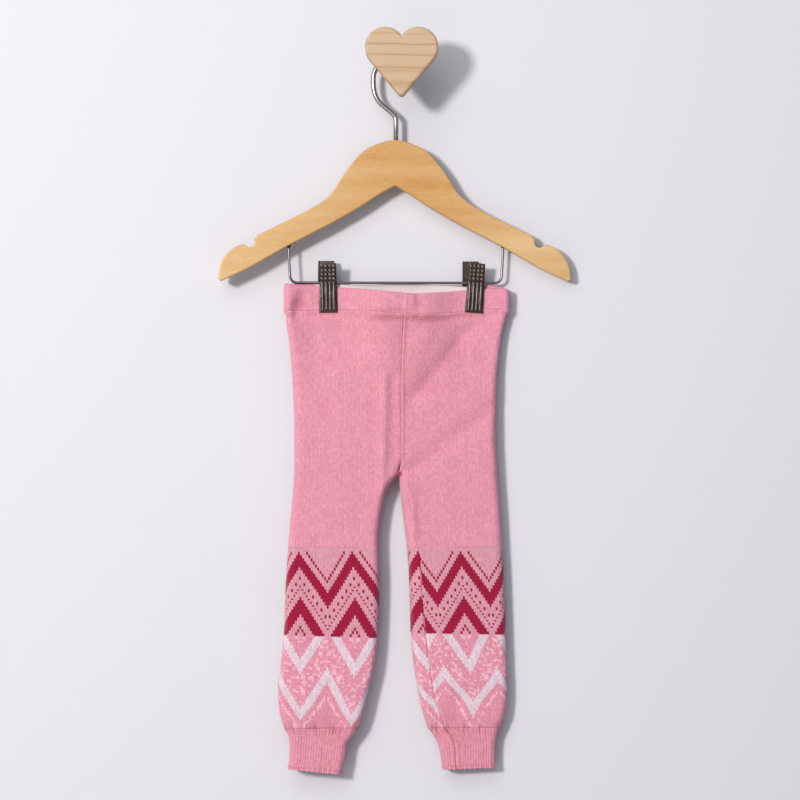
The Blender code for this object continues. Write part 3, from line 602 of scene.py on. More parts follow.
HANDLING_MARK = 1.4286
RAISED_FROM = 0.22               # relief from which the plating is coloured lighter
CLIP_COLUMNS = 48
CLIP_ANGLE = math.radians(48)    # edges that turn by more than this stay sharp
# a half in side view, from its pad down to its jaw: height over the bar, distance of its inner face
# from the middle plane, half-width, and how far its side flanges reach back
ClipRow = namedtuple("ClipRow", "height inner half_width flange")
CLIP = [
    ClipRow(16.2, 7.2, 6.6, 0.5),
    ClipRow(15.0, 6.9, 6.9, 1.4),
    ClipRow(6.0, 5.6, 7.0, 2.4),
    ClipRow(1.6, 4.8, 7.1, 3.1),
    ClipRow(-1.4, 4.5, 7.2, 2.8),
    ClipRow(-2.8, 4.4, 7.2, 0.7),
    ClipRow(-12.0, 4.2, 7.4, 0.5),
    ClipRow(-21.0, 3.7, 7.7, 0.4),
    ClipRow(-25.4, 3.6, 7.8, 0.3),
]
ClipHalf = namedtuple("ClipHalf", "name node side x lift lean")
CLIP_HALVES = [
    ClipHalf("left_clip_front", "clip_left_front", -1, -57.4, 0.0, math.radians(-0.8)),
    ClipHalf("left_clip_back", "clip_left_back", 1, -58.8, 2.6, 0.0),
    ClipHalf("right_clip_front", "clip_right_front", -1, 67.3, 0.0, math.radians(3.4)),
    ClipHalf("right_clip_back", "clip_right_back", 1, 63.6, 2.4, 0.0),
]


def read_straight(rows, key, column, value):
    """A table's column between its rows, which run from high to low."""
    for above, below in zip(rows, rows[1:]):
        if value >= getattr(below, key):
            t = (getattr(above, key) - value) / (getattr(above, key) - getattr(below, key))
            return mix(getattr(above, column), getattr(below, column), min(1.0, max(0.0, t)))
    return getattr(rows[-1], column)


def pressed_relief(x, height):
    """How far the dots and ribs stand out of a clip's plate."""
    relief = 0.0
    for row_height in DOT_ROWS:
        for column in DOT_COLUMNS:
            off = math.hypot(x - column, height - row_height) / DOT_RADIUS
            if off < 1.0:
                relief = max(relief, DOT_HIGH * math.sqrt(1.0 - off * off))
    along = max(height - RIB_TOP + RIB_HALF, RIB_FOOT + RIB_HALF - height, 0.0)
    for number in range(RIB_COUNT):
        rib_x = (number - (RIB_COUNT - 1) / 2) * RIB_PITCH
        off = math.hypot(x - rib_x, along) / RIB_HALF
        if off < 1.0:
            relief = max(relief, RIB_HIGH * math.sqrt(1.0 - off * off))
    return relief


def clip_mesh(side):
    """Points and faces of one pressed half, closed: its plate, its two flanges and its inside."""
    top = CLIP[0].height
    foot = CLIP[-1].height
    rows = round((top - foot) / CLIP_STEP)
    points = []
    for row in range(rows + 1):
        height = mix(top, foot, row / rows)
        inner = read_straight(CLIP, "height", "inner", height)
        wide = read_straight(CLIP, "height", "half_width", height)
        tip = inner - read_straight(CLIP, "height", "flange", height)
        narrow = wide - CLIP_SHEET
        ring = [(-wide, tip), (-wide, inner)]
        for column in range(CLIP_COLUMNS + 1):
            x = mix(-wide, wide, column / CLIP_COLUMNS)
            edge = max(0.0, abs(x) - (wide - CLIP_EDGE))
            roll = max(0.0, height - (top - LIP_TOP), (foot + LIP_FOOT) - height)
            rounding = CLIP_EDGE - math.sqrt(max(0.0, CLIP_EDGE ** 2 - edge ** 2))
            out = inner + CLIP_SHEET - rounding - LIP_SLOPE * roll
            ring.append((x, max(out, inner + CLIP_THINNEST) + pressed_relief(x, height)))
        ring += [(wide, inner), (wide, tip), (narrow, tip), (narrow, inner), (-narrow, inner), (-narrow, tip)]
        for x, depth in ring:
            points.append(Vector((x, side * depth, height)))
    faces = closed_faces(rows + 1, len(ring))
    if side < 0:
        faces = [face[::-1] for face in faces]
    return points, faces


def dark_nickel(name, tone):
    """Dark nickel over pressed steel: brown-grey metal, its gloss broken by handling marks."""
    material = new_material(name)
    tree = material.node_tree
    place = add_node(tree, "TexCoord", {}, {}).outputs["Object"]
    grime = add_node(tree, "TexNoise", {}, {
        "Vector": place, "Scale": 1.0 / (HANDLING_MARK * MM), "Detail": 4.0}).outputs["Fac"]
    shade = add_node(tree, "MapRange", {}, {
        "Value": grime, "From Min": 0.35, "From Max": 0.65, "To Min": 0.75, "To Max": 1.1})
    colour = add_node(tree, "VectorMath", {"operation": "SCALE"}, {
        0: linear(tone)[:3], "Scale": shade.outputs["Result"]})
    rough = add_node(tree, "MapRange", {}, {"Value": grime, "To Min": 0.26, "To Max": 0.48})
    return set_surface(material, {
        "Base Color": colour.outputs[0], "Metallic": 1.0, "Roughness": rough.outputs["Result"]})


nickels = [dark_nickel("dark_nickel", GUNMETAL), dark_nickel("lighter_raised_nickel", GUNMETAL_RAISED)]


def placed_clip(point, half):
    """A point of a clip's half, leaned in the hanger's plane and set on the bar."""
    x = point.x * math.cos(half.lean) + point.z * math.sin(half.lean)
    z = point.z * math.cos(half.lean) - point.x * math.sin(half.lean)
    return hung(Vector((x + half.x, point.y, z + BAR_Z + half.lift)))


for half in CLIP_HALVES:
    points, faces = clip_mesh(half.side)
    piece = add_mesh(half.name, [placed_clip(point, half) for point in points], faces, nickels,
                     [half.node])
    # the raised dots and ribs on the outside take the lighter nickel
    for polygon, face in zip(piece.data.polygons, faces):
        reliefs = [pressed_relief(points[n].x, points[n].z) for n in face]
        outside = min(half.side * points[n].y - read_straight(CLIP, "height", "inner", points[n].z)
                      for n in face) > 0.5 * CLIP_SHEET
        polygon.material_index = 1 if outside and sum(reliefs) / len(reliefs) > RAISED_FROM else 0
    piece.data.set_sharp_from_angle(angle=CLIP_ANGLE)

for name, middle_x in (("left_spring", -58.1), ("right_spring", 66.0)):
    coil = []
    steps = SPRING_TURNS * SPRING_POINTS
    for step in range(steps + 1):
        angle = 2.0 * math.pi * step / SPRING_POINTS
        coil.append(Vector((middle_x + mix(-SPRING_HALF, SPRING_HALF, step / steps),
                            SPRING_RADIUS * math.cos(angle), BAR_Z + SPRING_RADIUS * math.sin(angle))))
    spring_curve = bpy.data.curves.new(name, "CURVE")
    spring_curve.dimensions = "3D"
    spring_curve.bevel_depth = SPRING_WIRE * MM
    spring_curve.bevel_resolution = 2
    spring_curve.use_fill_caps = True
    spline = spring_curve.splines.new("POLY")
    spline.points.add(len(coil) - 1)
    for point, place in zip(spline.points, coil):
        point.co = (*(hung(place) * MM), 1.0)
    spring_curve.materials.append(plain_steel)
    spring = link_object(name, spring_curve)
    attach(spring, "root")


# ---------------------------------------------------------------- legs
# Each leg is one piece of fine machine-knit cotton, plain stocking stitch down to the knee and stranded
# zigzags below it, closed by an inseam. It is flat from hanging, round at its side folds, and sewn to
# the other along the middle. The right leg's inseam has swung round to the front.
LEG_WALL = 1.6
CROTCH_Z = -342.0
CUFF_SEAM_Z = -557.0
CLIP_X = (-57.5, 66.6)
CLIPPED_HALF = 2.5
CLIP_HOLD = 9.0
PINCH_REACH = 40.0
PINCH_DROP = 90.0
WAIST_FRONT = 8.5
WAIST_BACK = 3.5
END_RADIUS = 5.5
SADDLE = 15.0
WALE = 1.72                      # one column of stitches
ROW = 1.36                       # one row of stitches
LEG_COLUMNS = 128
LEG_LEVEL = 1.6                  # mesh spacing down a leg
EDGE_STEPS = (0.0, 0.45, 0.95, 1.6, 2.5, 3.5)  # and beside its seams
BAND_BLEND_Z = -222.0            # rows of points follow the waistband's foot above this
FINE_FROM_SEAM = 8.0             # how far a seam's own relief reaches
BODY_PINK = "#DE92A6"
CHART_PINK = "#D795A6"
LOWER_PINK = "#DD90A5"
HEATHER_GREY = "#B98A99"
CRIMSON = "#9A1138"
PALE_YARN = "#DDC6D1"
SPARKLE_YARN = "#EBB2C1"

BodyRow = namedtuple("BodyRow", "z left right front back")
BODY = [
    BodyRow(-203.0, -93.8, 95.6, 7.5, 5.5),
    BodyRow(-217.0, -92.4, 91.4, 7.6, 5.8),
    BodyRow(-230.0, -90.4, 88.8, 8.0, 6.2),
    BodyRow(-264.0, -87.5, 85.4, 9.0, 6.8),
    BodyRow(-306.0, -85.9, 84.3, 9.4, 7.2),
    BodyRow(CROTCH_Z, -86.0, 85.8, 9.2, 7.4),
]
LegRow = namedtuple("LegRow", "z outer inner front back")
LEFT_LEG = [
    LegRow(CROTCH_Z, -86.0, 2.9, 9.2, 7.4),
    LegRow(-349.0, -86.5, -3.6, 9.0, 7.4),
    LegRow(-357.0, -87.0, -8.0, 8.8, 7.3),
    LegRow(-368.0, -88.0, -11.3, 8.7, 7.2),
    LegRow(-382.0, -89.3, -13.6, 8.6, 7.2),
    LegRow(-395.0, -90.4, -14.9, 8.5, 7.2),
    LegRow(-433.0, -93.0, -14.0, 8.3, 7.2),
    LegRow(-478.0, -94.8, -15.2, 8.2, 7.2),
    LegRow(-505.0, -97.7, -18.2, 8.5, 7.4),
    LegRow(-526.0, -99.6, -23.5, 9.0, 7.6),
    LegRow(-543.0, -98.4, -27.4, 9.0, 7.4),
    LegRow(CUFF_SEAM_Z, -94.6, -31.4, 7.4, 6.6),
]
RIGHT_LEG = [
    LegRow(CROTCH_Z, 85.8, 2.9, 9.2, 7.4),
    LegRow(-349.0, 86.3, 2.9, 9.0, 7.4),
    LegRow(-357.0, 86.9, 3.5, 8.9, 7.3),
    LegRow(-378.0, 88.5, 5.7, 8.7, 7.2),
    LegRow(-395.0, 89.4, 8.0, 8.5, 7.2),
    LegRow(-433.0, 91.4, 11.0, 8.3, 7.2),
    LegRow(-478.0, 93.0, 12.3, 8.2, 7.2),
    LegRow(-505.0, 93.8, 15.0, 8.5, 7.4),
    LegRow(-526.0, 94.2, 18.4, 9.0, 7.6),
    LegRow(-543.0, 92.8, 22.2, 9.0, 7.4),
    LegRow(CUFF_SEAM_Z, 88.6, 26.5, 7.4, 6.6),
]
SeamRow = namedtuple("SeamRow", "z x")
CENTRE_SEAM = [
    SeamRow(-180.0, 8.7), SeamRow(-206.0, 6.2), SeamRow(-264.0, 4.3), SeamRow(-330.0, 4.1),
    SeamRow(CROTCH_Z, 2.9),
]
# where the right leg's inseam shows on its front
INSEAM = [
    SeamRow(CROTCH_Z, 2.9), SeamRow(-352.0, 7.0), SeamRow(-363.0, 11.0), SeamRow(-378.0, 13.5),
    SeamRow(-392.0, 15.0), SeamRow(-407.0, 19.9), SeamRow(-428.0, 21.0), SeamRow(-462.0, 23.4),
    SeamRow(-501.0, 28.2), SeamRow(-528.0, 32.0), SeamRow(-544.0, 37.0), SeamRow(CUFF_SEAM_Z, 41.5),
]
INSEAM_SHARP_Z = -440.0          # the inseam is a sharp crease from here down
EdgeRow = namedtuple("EdgeRow", "x front_top back_top front_foot back_foot")
BAND_EDGES = [
    EdgeRow(-95.0, -182.2, -182.2, -205.6, -205.6),
    EdgeRow(-75.0, -183.6, -182.0, -205.0, -204.6),
    EdgeRow(-57.5, -184.8, -182.6, -204.6, -204.0),
    EdgeRow(-30.0, -186.8, -183.2, -205.0, -203.6),
    EdgeRow(0.0, -189.4, -182.4, -207.4, -203.2),
    EdgeRow(14.0, -190.8, -182.4, -208.0, -203.2),
    EdgeRow(37.0, -189.6, -183.2, -207.4, -203.2),
    EdgeRow(66.6, -187.2, -184.8, -204.4, -203.0),
    EdgeRow(80.0, -186.2, -182.9, -203.2, -203.0),
    EdgeRow(88.0, -186.4, -184.4, -203.6, -203.4),
    EdgeRow(96.0, -187.2, -187.2, -204.2, -204.2),
]
# soft folds: a line on the front or back, its half-width, and how far it stands proud or sinks in
Fold = namedtuple("Fold", "face x0 z0 x1 z1 reach rise")
FOLDS = [
    Fold("front", -9.3, -262.0, -12.0, -357.0, 3.6, 1.7),
    Fold("front", -2.2, -262.0, -2.5, -330.0, 4.6, -1.2),
    Fold("front", 8.0, -347.0, 15.0, -390.0, 6.0, 1.0),
    Fold("front", 65.0, -219.0, 15.0, -278.0, 7.0, -2.5),
    Fold("front", 80.0, -288.0, 12.0, -340.0, 8.0, -1.9),
    Fold("front", -48.0, -222.0, -8.0, -236.0, 7.0, -1.2),
    Fold("front", -68.0, -240.0, -56.0, -290.0, 9.0, -0.8),
    Fold("front", -80.0, -195.5, -84.2, -206.0, 4.8, -2.8),
    Fold("front", -60.0, -528.0, -52.0, -550.0, 7.0, -1.2),
    Fold("front", 55.0, -530.0, 50.0, -550.0, 7.0, -1.2),
    Fold("front", 22.0, -455.0, 36.0, -540.0, 6.0, -0.9),
    Fold("back", -40.0, -225.0, -15.0, -290.0, 10.0, -1.2),
    Fold("back", 50.0, -230.0, 22.0, -295.0, 10.0, -1.3),
    Fold("back", -9.0, -345.0, -25.0, -372.0, 6.0, -1.0),
    Fold("back", 12.0, -345.0, 24.0, -372.0, 6.0, -1.0),
    Fold("back", -66.0, -526.0, -58.0, -550.0, 7.0, -1.2),
    Fold("back", 60.0, -526.0, 54.0, -550.0, 7.0, -1.2),
    # finer ones, which the solid leaves out
    Fold("front", 8.0, -340.0, 19.0, -335.0, 3.0, -0.8),
    Fold("front", 8.0, -345.5, 20.0, -346.0, 3.5, 0.5),
    Fold("front", 18.5, -192.0, 18.5, -204.0, 3.2, -1.6),
    Fold("front", 12.0, -219.0, 22.0, -223.0, 3.2, -0.9),
    Fold("front", 24.0, -226.0, 14.0, -246.0, 8.0, 1.0),
    Fold("front", 14.0, -362.0, 14.6, -402.0, 2.4, 0.6),
    Fold("front", 8.0, -360.0, 9.0, -375.0, 1.8, 0.5),
]
# where the cloth is drawn together, and painted shade darkens the hollows between its stitches there
PuckerShade = namedtuple("PuckerShade", "face x z half_x half_z pull")
PUCKER_SHADES = [
    PuckerShade("front", -9.0, -211.5, 16.0, 3.0, 1.0),
    PuckerShade("front", 25.0, -212.0, 19.0, 3.6, 1.0),
    PuckerShade("front", 60.0, -209.0, 16.0, 2.6, 0.4),
    PuckerShade("front", -6.0, -204.5, 16.0, 2.2, 0.6),
    PuckerShade("front", -81.5, -199.0, 6.5, 6.0, 1.0),
    PuckerShade("front", 45.0, -243.0, 20.0, 12.0, 0.25),
    PuckerShade("front", 22.0, -266.0, 14.0, 12.0, 0.35),
    PuckerShade("front", -1.0, -228.0, 5.0, 18.0, 0.35),
    PuckerShade("front", 18.5, -198.0, 4.0, 6.0, 0.5),
    PuckerShade("back", 0.0, -207.0, 60.0, 3.0, 0.6),
]
# rows of stitches down each leg, counted from the first zigzag's top, and the column lines that the
# zigzags' peaks follow; tilt is how much the rows fall towards the right
ChartRow = namedtuple("ChartRow", "z row peak other_peak tilt")
LEFT_CHART = [
    ChartRow(-203.0, -148.8, -41.0, -84.0, 0.0),
    ChartRow(-380.0, -20.4, -38.6, -82.6, 0.0),
    ChartRow(-408.1, 0.0, -37.3, -82.0, -0.01),
    ChartRow(-447.3, 29.0, -34.8, -80.7, 0.02),
    ChartRow(-480.8, 53.0, -34.9, -80.8, 0.038),
    ChartRow(-503.0, 68.0, -35.3, -80.9, 0.06),
    ChartRow(-514.6, 76.0, -36.0, -80.9, 0.08),
    ChartRow(-545.0, 97.0, -37.8, -81.0, 0.12),
    ChartRow(-557.0, 108.0, -38.4, -81.0, 0.1),
]
RIGHT_CHART = [
    ChartRow(-203.0, -149.0, 51.0, 95.5, 0.0),
    ChartRow(-380.0, -20.5, 52.5, 97.0, 0.0),
    ChartRow(-408.3, 0.0, 54.1, 98.6, 0.0),
    ChartRow(-442.3, 26.0, 56.6, 101.1, 0.0),
    ChartRow(-478.3, 53.0, 58.6, 103.1, 0.02),
    ChartRow(-504.8, 71.0, 62.0, 106.5, 0.04),
    ChartRow(-516.9, 80.0, 63.2, 107.7, 0.05),
    ChartRow(-534.5, 97.0, 64.6, 109.1, 0.05),
    ChartRow(-549.0, 106.0, 65.0, 109.5, 0.05),
    ChartRow(-557.0, 111.5, 65.2, 109.7, 0.05),
]
REPEAT = 26                      # wales from one peak of a zigzag to the next
SLACK_HOLLOW_SHADE = 0.79               # painted shade: how light the hollows between stitches are painted in slack cloth
DRAWN_HOLLOW_SHADE = 0.3                # and in cloth that is drawn together, where the painted shade is deeper
HOLLOW_SHADE_TINT = (0.75, 1.1, 1.03)  # how much of the painted shade's fall each of red, green and blue takes
# how far the yarn's tone wanders by stitch, wale, stretch of yarn and area: (source value, tone) twice
YARN_TONES = [
    ("chance", (0.0, 0.91), (1.0, 1.09)),
    ("streak", (0.0, 0.975), (1.0, 1.025)),
    ("slub", (0.3, 0.92), (0.7, 1.08)),
    ("cloud", (0.3, 0.97), (0.7, 1.03)),
]
RIGHT_WALES_ROUND = 79           # from the right leg's peak line round its back to the inseam
WALES_SETTLE = 55.0              # drop below the crotch over which they come to that number
LEFT_INSEAM_BACK = 7.0           # how far the left leg's inseam has swung round to the back
LEFT_INSEAM_DROP = 30.0          # and over which drop
INSEAM_SHARPENS = 45.0           # drop over which the right leg's inseam turns sharp
FACE_SEED = {"front": 3.0, "back": 8.0}  # so that chance differs from one to the other
RIPPLE_RISE = 0.25
RIPPLES = (0.05, 0.022)          # to each millimetre, across and down
GATHERS = (0.55, 0.06)
GATHER_RISE = 0.25
# how strongly painted shade darkens the stitch hollows in the gathers' creases
GATHER_SHADE = 1.6


def smooth(t):
    """A share that starts and ends gently, and stays between 0 and 1."""
    t = min(1.0, max(0.0, t))
    return t * t * (3.0 - 2.0 * t)


def swell(off, middle, reach, rise):
    """A smooth swell or hollow: rise at its middle, and next to nothing two reaches away."""
    return rise * math.exp(-((off - middle) / reach) ** 2)


def read_table(rows, key, column, value):
    """A smooth curve through one column of a table, which never swings past its rows."""
    places = [getattr(row, key) for row in rows]
    levels = [getattr(row, column) for row in rows]
    if places[0] > places[-1]:
        places.reverse()
        levels.reverse()
    if value <= places[0]:
        return levels[0]
    if value >= places[-1]:
        return levels[-1]
    slopes = [(levels[n + 1] - levels[n]) / (places[n + 1] - places[n]) for n in range(len(places) - 1)]
    turns = [slopes[0]]
    for before, after in zip(slopes, slopes[1:]):
        turns.append(0.0 if before * after <= 0.0 else 2.0 * before * after / (before + after))
    turns.append(slopes[-1])
    a = max(n for n in range(len(places) - 1) if places[n] <= value)
    width = places[a + 1] - places[a]
    t = (value - places[a]) / width
    start_bend = t * (1.0 - t) ** 2 * turns[a]
    end_bend = t * t * (t - 1.0) * turns[a + 1]
    return mix(levels[a], levels[a + 1], smooth(t)) + (start_bend + end_bend) * width


def clear_of_clips(x):
    """Distance past the nearest stretch that a clip holds flat."""
    return min(max(0.0, abs(x - clip_x) - CLIP_HOLD) for clip_x in CLIP_X)


def fold_rise(face, x, z):
    """How far the soft folds push the cloth out at one place."""
    rise = 0.0
    for fold in FOLDS:
        if fold.face != face:
            continue
        run_x = fold.x1 - fold.x0
        run_z = fold.z1 - fold.z0
        t = ((x - fold.x0) * run_x + (z - fold.z0) * run_z) / (run_x ** 2 + run_z ** 2)
        t = min(1.0, max(0.0, t))
        off = math.hypot(x - fold.x0 - t * run_x, z - fold.z0 - t * run_z)
        if off < 3.0 * fold.reach:
            rise += swell(off, 0.0, fold.reach, fold.rise)
    return rise


def hollow_shade_at(face, x, z):
    """How much painted shade the stitch hollows take at one place where the cloth is drawn together, from 0
    to 1.
    """
    pull = 0.0
    for pucker in PUCKER_SHADES:
        if pucker.face == face:
            off = math.hypot((x - pucker.x) / pucker.half_x, (z - pucker.z) / pucker.half_z)
            pull = max(pull, pucker.pull * math.exp(-off ** 4))
    return pull


def gather(face, x, z):
    """The small upright creases where the cuff draws the leg in: from -1 in a crease to 1 between two."""
    wander = noise.noise(Vector((GATHERS[0] * x, FACE_SEED[face], GATHERS[1] * z)))
    return swell(z, middle=CUFF_SEAM_Z, reach=5.5, rise=2.0 * wander)


def waist_depth(face, x):
    """How far the waist stands out of the middle plane: flat at the clips, open elsewhere."""
    spread = WAIST_FRONT if face == "front" else WAIST_BACK
    return CLIPPED_HALF + spread * smooth(clear_of_clips(x) / PINCH_REACH)


def across(inner, outer, openness, end_steps, flat_steps):
    """Places from the inner edge to the side fold: (x, share of the depth there)."""
    way = 1.0 if outer > inner else -1.0
    places = []
    for step in range(end_steps):
        turn = 0.5 * math.pi * step / end_steps
        share = math.sqrt(1.0 - (1.0 - openness ** 2) * math.cos(turn) ** 2)
        places.append((inner + way * END_RADIUS * (1.0 - math.cos(turn)), share))
    for step in range(flat_steps + 1):
        flat_x = mix(inner + way * END_RADIUS, outer - way * END_RADIUS, step / flat_steps)
        places.append((flat_x, 1.0))
    for step in range(end_steps - 1, -1, -1):
        turn = 0.5 * math.pi * step / end_steps
        places.append((outer - way * END_RADIUS * (1.0 - math.cos(turn)), math.sin(turn)))
    return places


def round_section(places, depth_of):
    """(x, y) round a flattened tube: along the front, round the side fold and along the back."""
    section = [(x, -share * depth_of("front", x)) for x, share in places]
    section += [(x, share * depth_of("back", x)) for x, share in reversed(places[:-1])]
    return section


def reaches(section):
    """Length along a section up to each of its points."""
    lengths = [0.0]
    for a, b in zip(section, section[1:]):
        lengths.append(lengths[-1] + math.dist(a, b))
    return lengths


def walk(section, lengths, reach):
    """The point at one length along a section."""
    low = 0
    high = len(section) - 1
    while high - low > 1:
        middle = (low + high) // 2
        if lengths[middle] <= reach:
            low = middle
        else:
            high = middle
    t = (reach - lengths[low]) / max(1e-9, lengths[high] - lengths[low])
    return (mix(section[low][0], section[high][0], t), mix(section[low][1], section[high][1], t))


def reach_at(section, lengths, x):
    """The length at which a section's front first passes x."""
    for place in range(len(section) - 1):
        x0 = section[place][0]
        x1 = section[place + 1][0]
        if (x0 - x) * (x1 - x) <= 0.0 and abs(x1 - x0) > 1e-9:
            return mix(lengths[place], lengths[place + 1], (x - x0) / (x1 - x0))
    return lengths[-1]


def leg_section(side, table, z):
    """The leg's section at one height, from its inner edge on the front round to that on the back."""
    if z > CROTCH_Z:
        openness = math.sqrt(1.0 - (1.0 - min(1.0, (z - CROTCH_Z) / SADDLE)) ** 2)
        inner = read_table(CENTRE_SEAM, "z", "x", z)
        outer = read_table(BODY, "z", "left" if side < 0 else "right", z)
        rows = BODY
    else:
        openness = 0.0
        inner = read_table(table, "z", "inner", z)
        outer = read_table(table, "z", "outer", z)
        rows = table
    hung_depth = {face: read_table(rows, "z", face, z) for face in ("front", "back")}
    below_band = smooth((BODY[0].z - z) / PINCH_DROP)

    def depth_of(face, x):
        plain = mix(waist_depth(face, x), hung_depth[face], below_band)
        ripple = noise.noise(Vector((x * RIPPLES[0], z * RIPPLES[1], FACE_SEED[face] + 1.0)))
        return plain + fold_rise(face, x, z) + RIPPLE_RISE * ripple

    return round_section(across(inner, outer, openness, end_steps=12, flat_steps=46), depth_of)


def crease_relief(from_seam, sunk, raised):
    """The cloth turns in sharply at an inseam and rolls up a little beside it."""
    groove = swell(from_seam, middle=0.0, reach=0.6, rise=-0.7)
    roll = swell(from_seam, middle=1.9, reach=1.3, rise=0.9)
    return sunk * groove + raised * roll


def centre_relief(side, from_seam):
    """At the centre seam the right leg's edge stands up in a soft cord, and the left leg's dips to it."""
    if side > 0:
        return swell(from_seam, middle=1.1, reach=1.15, rise=1.3)
    return swell(from_seam, middle=0.0, reach=2.5, rise=-0.9)


def outward(centres, place, side, looped):
    """The way out of the cloth at one place along a section, which may end where it starts."""
    last = len(centres) - 1
    before = centres[last - 1 if looped and place == 0 else max(0, place - 1)]
    after = centres[1 if looped and place == last else min(last, place + 1)]
    along = Vector((after[0] - before[0], after[1] - before[1])).normalized()
    return Vector((along.y, -along.x)) * side


def band_relief(drop):
    """The top of the legs rolls out at the waistband, then sinks a little."""
    return (swell(drop, middle=1.1, reach=1.5, rise=1.0)
            + swell(drop, middle=5.6, reach=2.6, rise=-0.6))


# a row's points, their knit coordinates, and how much painted shade their stitch hollows take
KnitRow = namedtuple("KnitRow", "points uvs pulls")


def leg_mesh(side, table, chart):
    """Rows of points down a leg, and the first row that goes all round."""
    top_z = BODY[0].z
    level_count = round((top_z - CUFF_SEAM_Z) / LEG_LEVEL)
    levels = [mix(top_z, CUFF_SEAM_Z, n / level_count) for n in range(level_count + 1)]
    levels = [z if abs(z - CROTCH_Z) > LEG_LEVEL / 2 else CROTCH_Z for z in levels]
    closed_from = levels.index(CROTCH_Z)
    rows = []
    for level, z in enumerate(levels):
        section = leg_section(side, table, z)
        lengths = reaches(section)
        total = lengths[-1]
        closed = level >= closed_from
        start = 0.0
        if closed and side > 0:
            inseam_x = max(section[0][0] + 0.01, read_table(INSEAM, "z", "x", z))
            start = reach_at(section, lengths, inseam_x)
        elif closed:
            start = -LEFT_INSEAM_BACK * smooth((CROTCH_Z - z) / LEFT_INSEAM_DROP)
        row_chart = {column: read_table(chart, "z", column, z)
                     for column in ("row", "peak", "other_peak", "tilt")}
        peak = reach_at(section, lengths, row_chart["peak"]) - start
        # a wale's width across the front, from the two peak lines or the plain pitch
        pitch = abs(row_chart["other_peak"] - row_chart["peak"]) / REPEAT
        middle = (len(section) - 1) // 2
        fold = lengths[middle] - start
        natural_end = (total - peak) / pitch
        round_end = natural_end
        if side > 0:
            round_end = mix(natural_end, RIGHT_WALES_ROUND, smooth((CROTCH_Z - z) / WALES_SETTLE))
        inside = LEG_COLUMNS - 2 * len(EDGE_STEPS)
        stops = list(EDGE_STEPS)
        stops += [mix(EDGE_STEPS[-1], total - EDGE_STEPS[-1], (n + 1) / (inside + 1)) for n in range(inside)]
        stops += [total - step for step in reversed(EDGE_STEPS)]
        centres = []
        for stop in stops:
            reach = start + stop
            if closed:
                reach %= total
            centres.append(walk(section, lengths, reach))
        row = KnitRow([], [], [])
        for place, (x, y) in enumerate(centres):
            out = outward(centres, place, side, looped=False)
            stop = stops[place]
            near_end = min(stop, total - stop)
            if near_end > FINE_FROM_SEAM:
                relief = 0.0
            elif closed:
                sharp = smooth((INSEAM_SHARP_Z + INSEAM_SHARPENS - z) / INSEAM_SHARPENS)
                relief = crease_relief(near_end, sunk=sharp, raised=0.4)
            else:
                relief = centre_relief(side, near_end)
            face = "front" if y < 0.0 else "back"
            band_foot = read_table(BAND_EDGES, "x", face + "_foot", x)
            height = z
            if z > BAND_BLEND_Z:
                height = mix(band_foot, BAND_BLEND_Z, (top_z - z) / (top_z - BAND_BLEND_Z))
                relief += band_relief(band_foot - height)
            drawn = gather(face, x, z)
            relief += GATHER_RISE * drawn
            row.points.append(hung(Vector((x + out.x * relief, y + out.y * relief, height))))
            if stop <= fold or side < 0:
                wale = (stop - peak) / pitch
            else:
                wale = mix((fold - peak) / pitch, round_end, (stop - fold) / (total - fold))
            stitch_row = read_table(chart, "z", "row", z + row_chart["tilt"] * (x - row_chart["peak"]))
            row.uvs.append((wale, stitch_row))
            # painted shade: the stitch hollows darken in puckers, in the gathers' creases above the cuffs,
            # and along the left leg's edge at the centre seam
            seam_shade = 0.0
            if side < 0 and not closed:
                seam_shade = swell(near_end, middle=0.0, reach=1.4, rise=0.6)
            row.pulls.append(min(1.0, max(hollow_shade_at(face, x, height), -GATHER_SHADE * drawn, seam_shade)))
        rows.append(row)
    return rows, closed_from


def add_shell(name, rows, closed_from, wall, materials, replaced, backwards):
    """Cloth from rows of points: open above closed_from, and a tube from there down. Rows that end on
    the first one again go round the wall, and other cloth is given its thickness. Faces of rows that
    run backwards are turned to face out."""
    columns = len(rows[0].points)
    points = []
    pulls = []
    index = []
    ring = rows[0] is rows[-1]
    for level, row in enumerate(rows[:-1] if ring else rows):
        line = []
        for place, point in enumerate(row.points):
            if level >= closed_from and place == columns - 1:
                line.append(line[0])
            else:
                line.append(len(points))
                points.append(point)
                pulls.append(row.pulls[place])
        index.append(line)
    if ring:
        index.append(index[0])
    faces = []
    corners = []
    for level in range(len(rows) - 1):
        for place in range(columns - 1):
            quad = [(level, place), (level, place + 1), (level + 1, place + 1), (level + 1, place)]
            if backwards:
                quad.reverse()
            faces.append([index[a][b] for a, b in quad])
            corners += [rows[a].uvs[b] for a, b in quad]
    piece = add_mesh(name, points, faces, materials, replaced)
    layer = piece.data.uv_layers.new(name="knit")
    layer.data.foreach_set("uv", [value for corner in corners for value in corner])
    # each point's share of painted shade in its stitch hollows, which the knit material reads
    pull = piece.data.attributes.new("pull", "FLOAT", "POINT")
    pull.data.foreach_set("value", pulls)
    if not ring:
        thicken = piece.modifiers.new("thickness", "SOLIDIFY")
        thicken.thickness = wall * MM
        thicken.offset = -1.0
    return piece


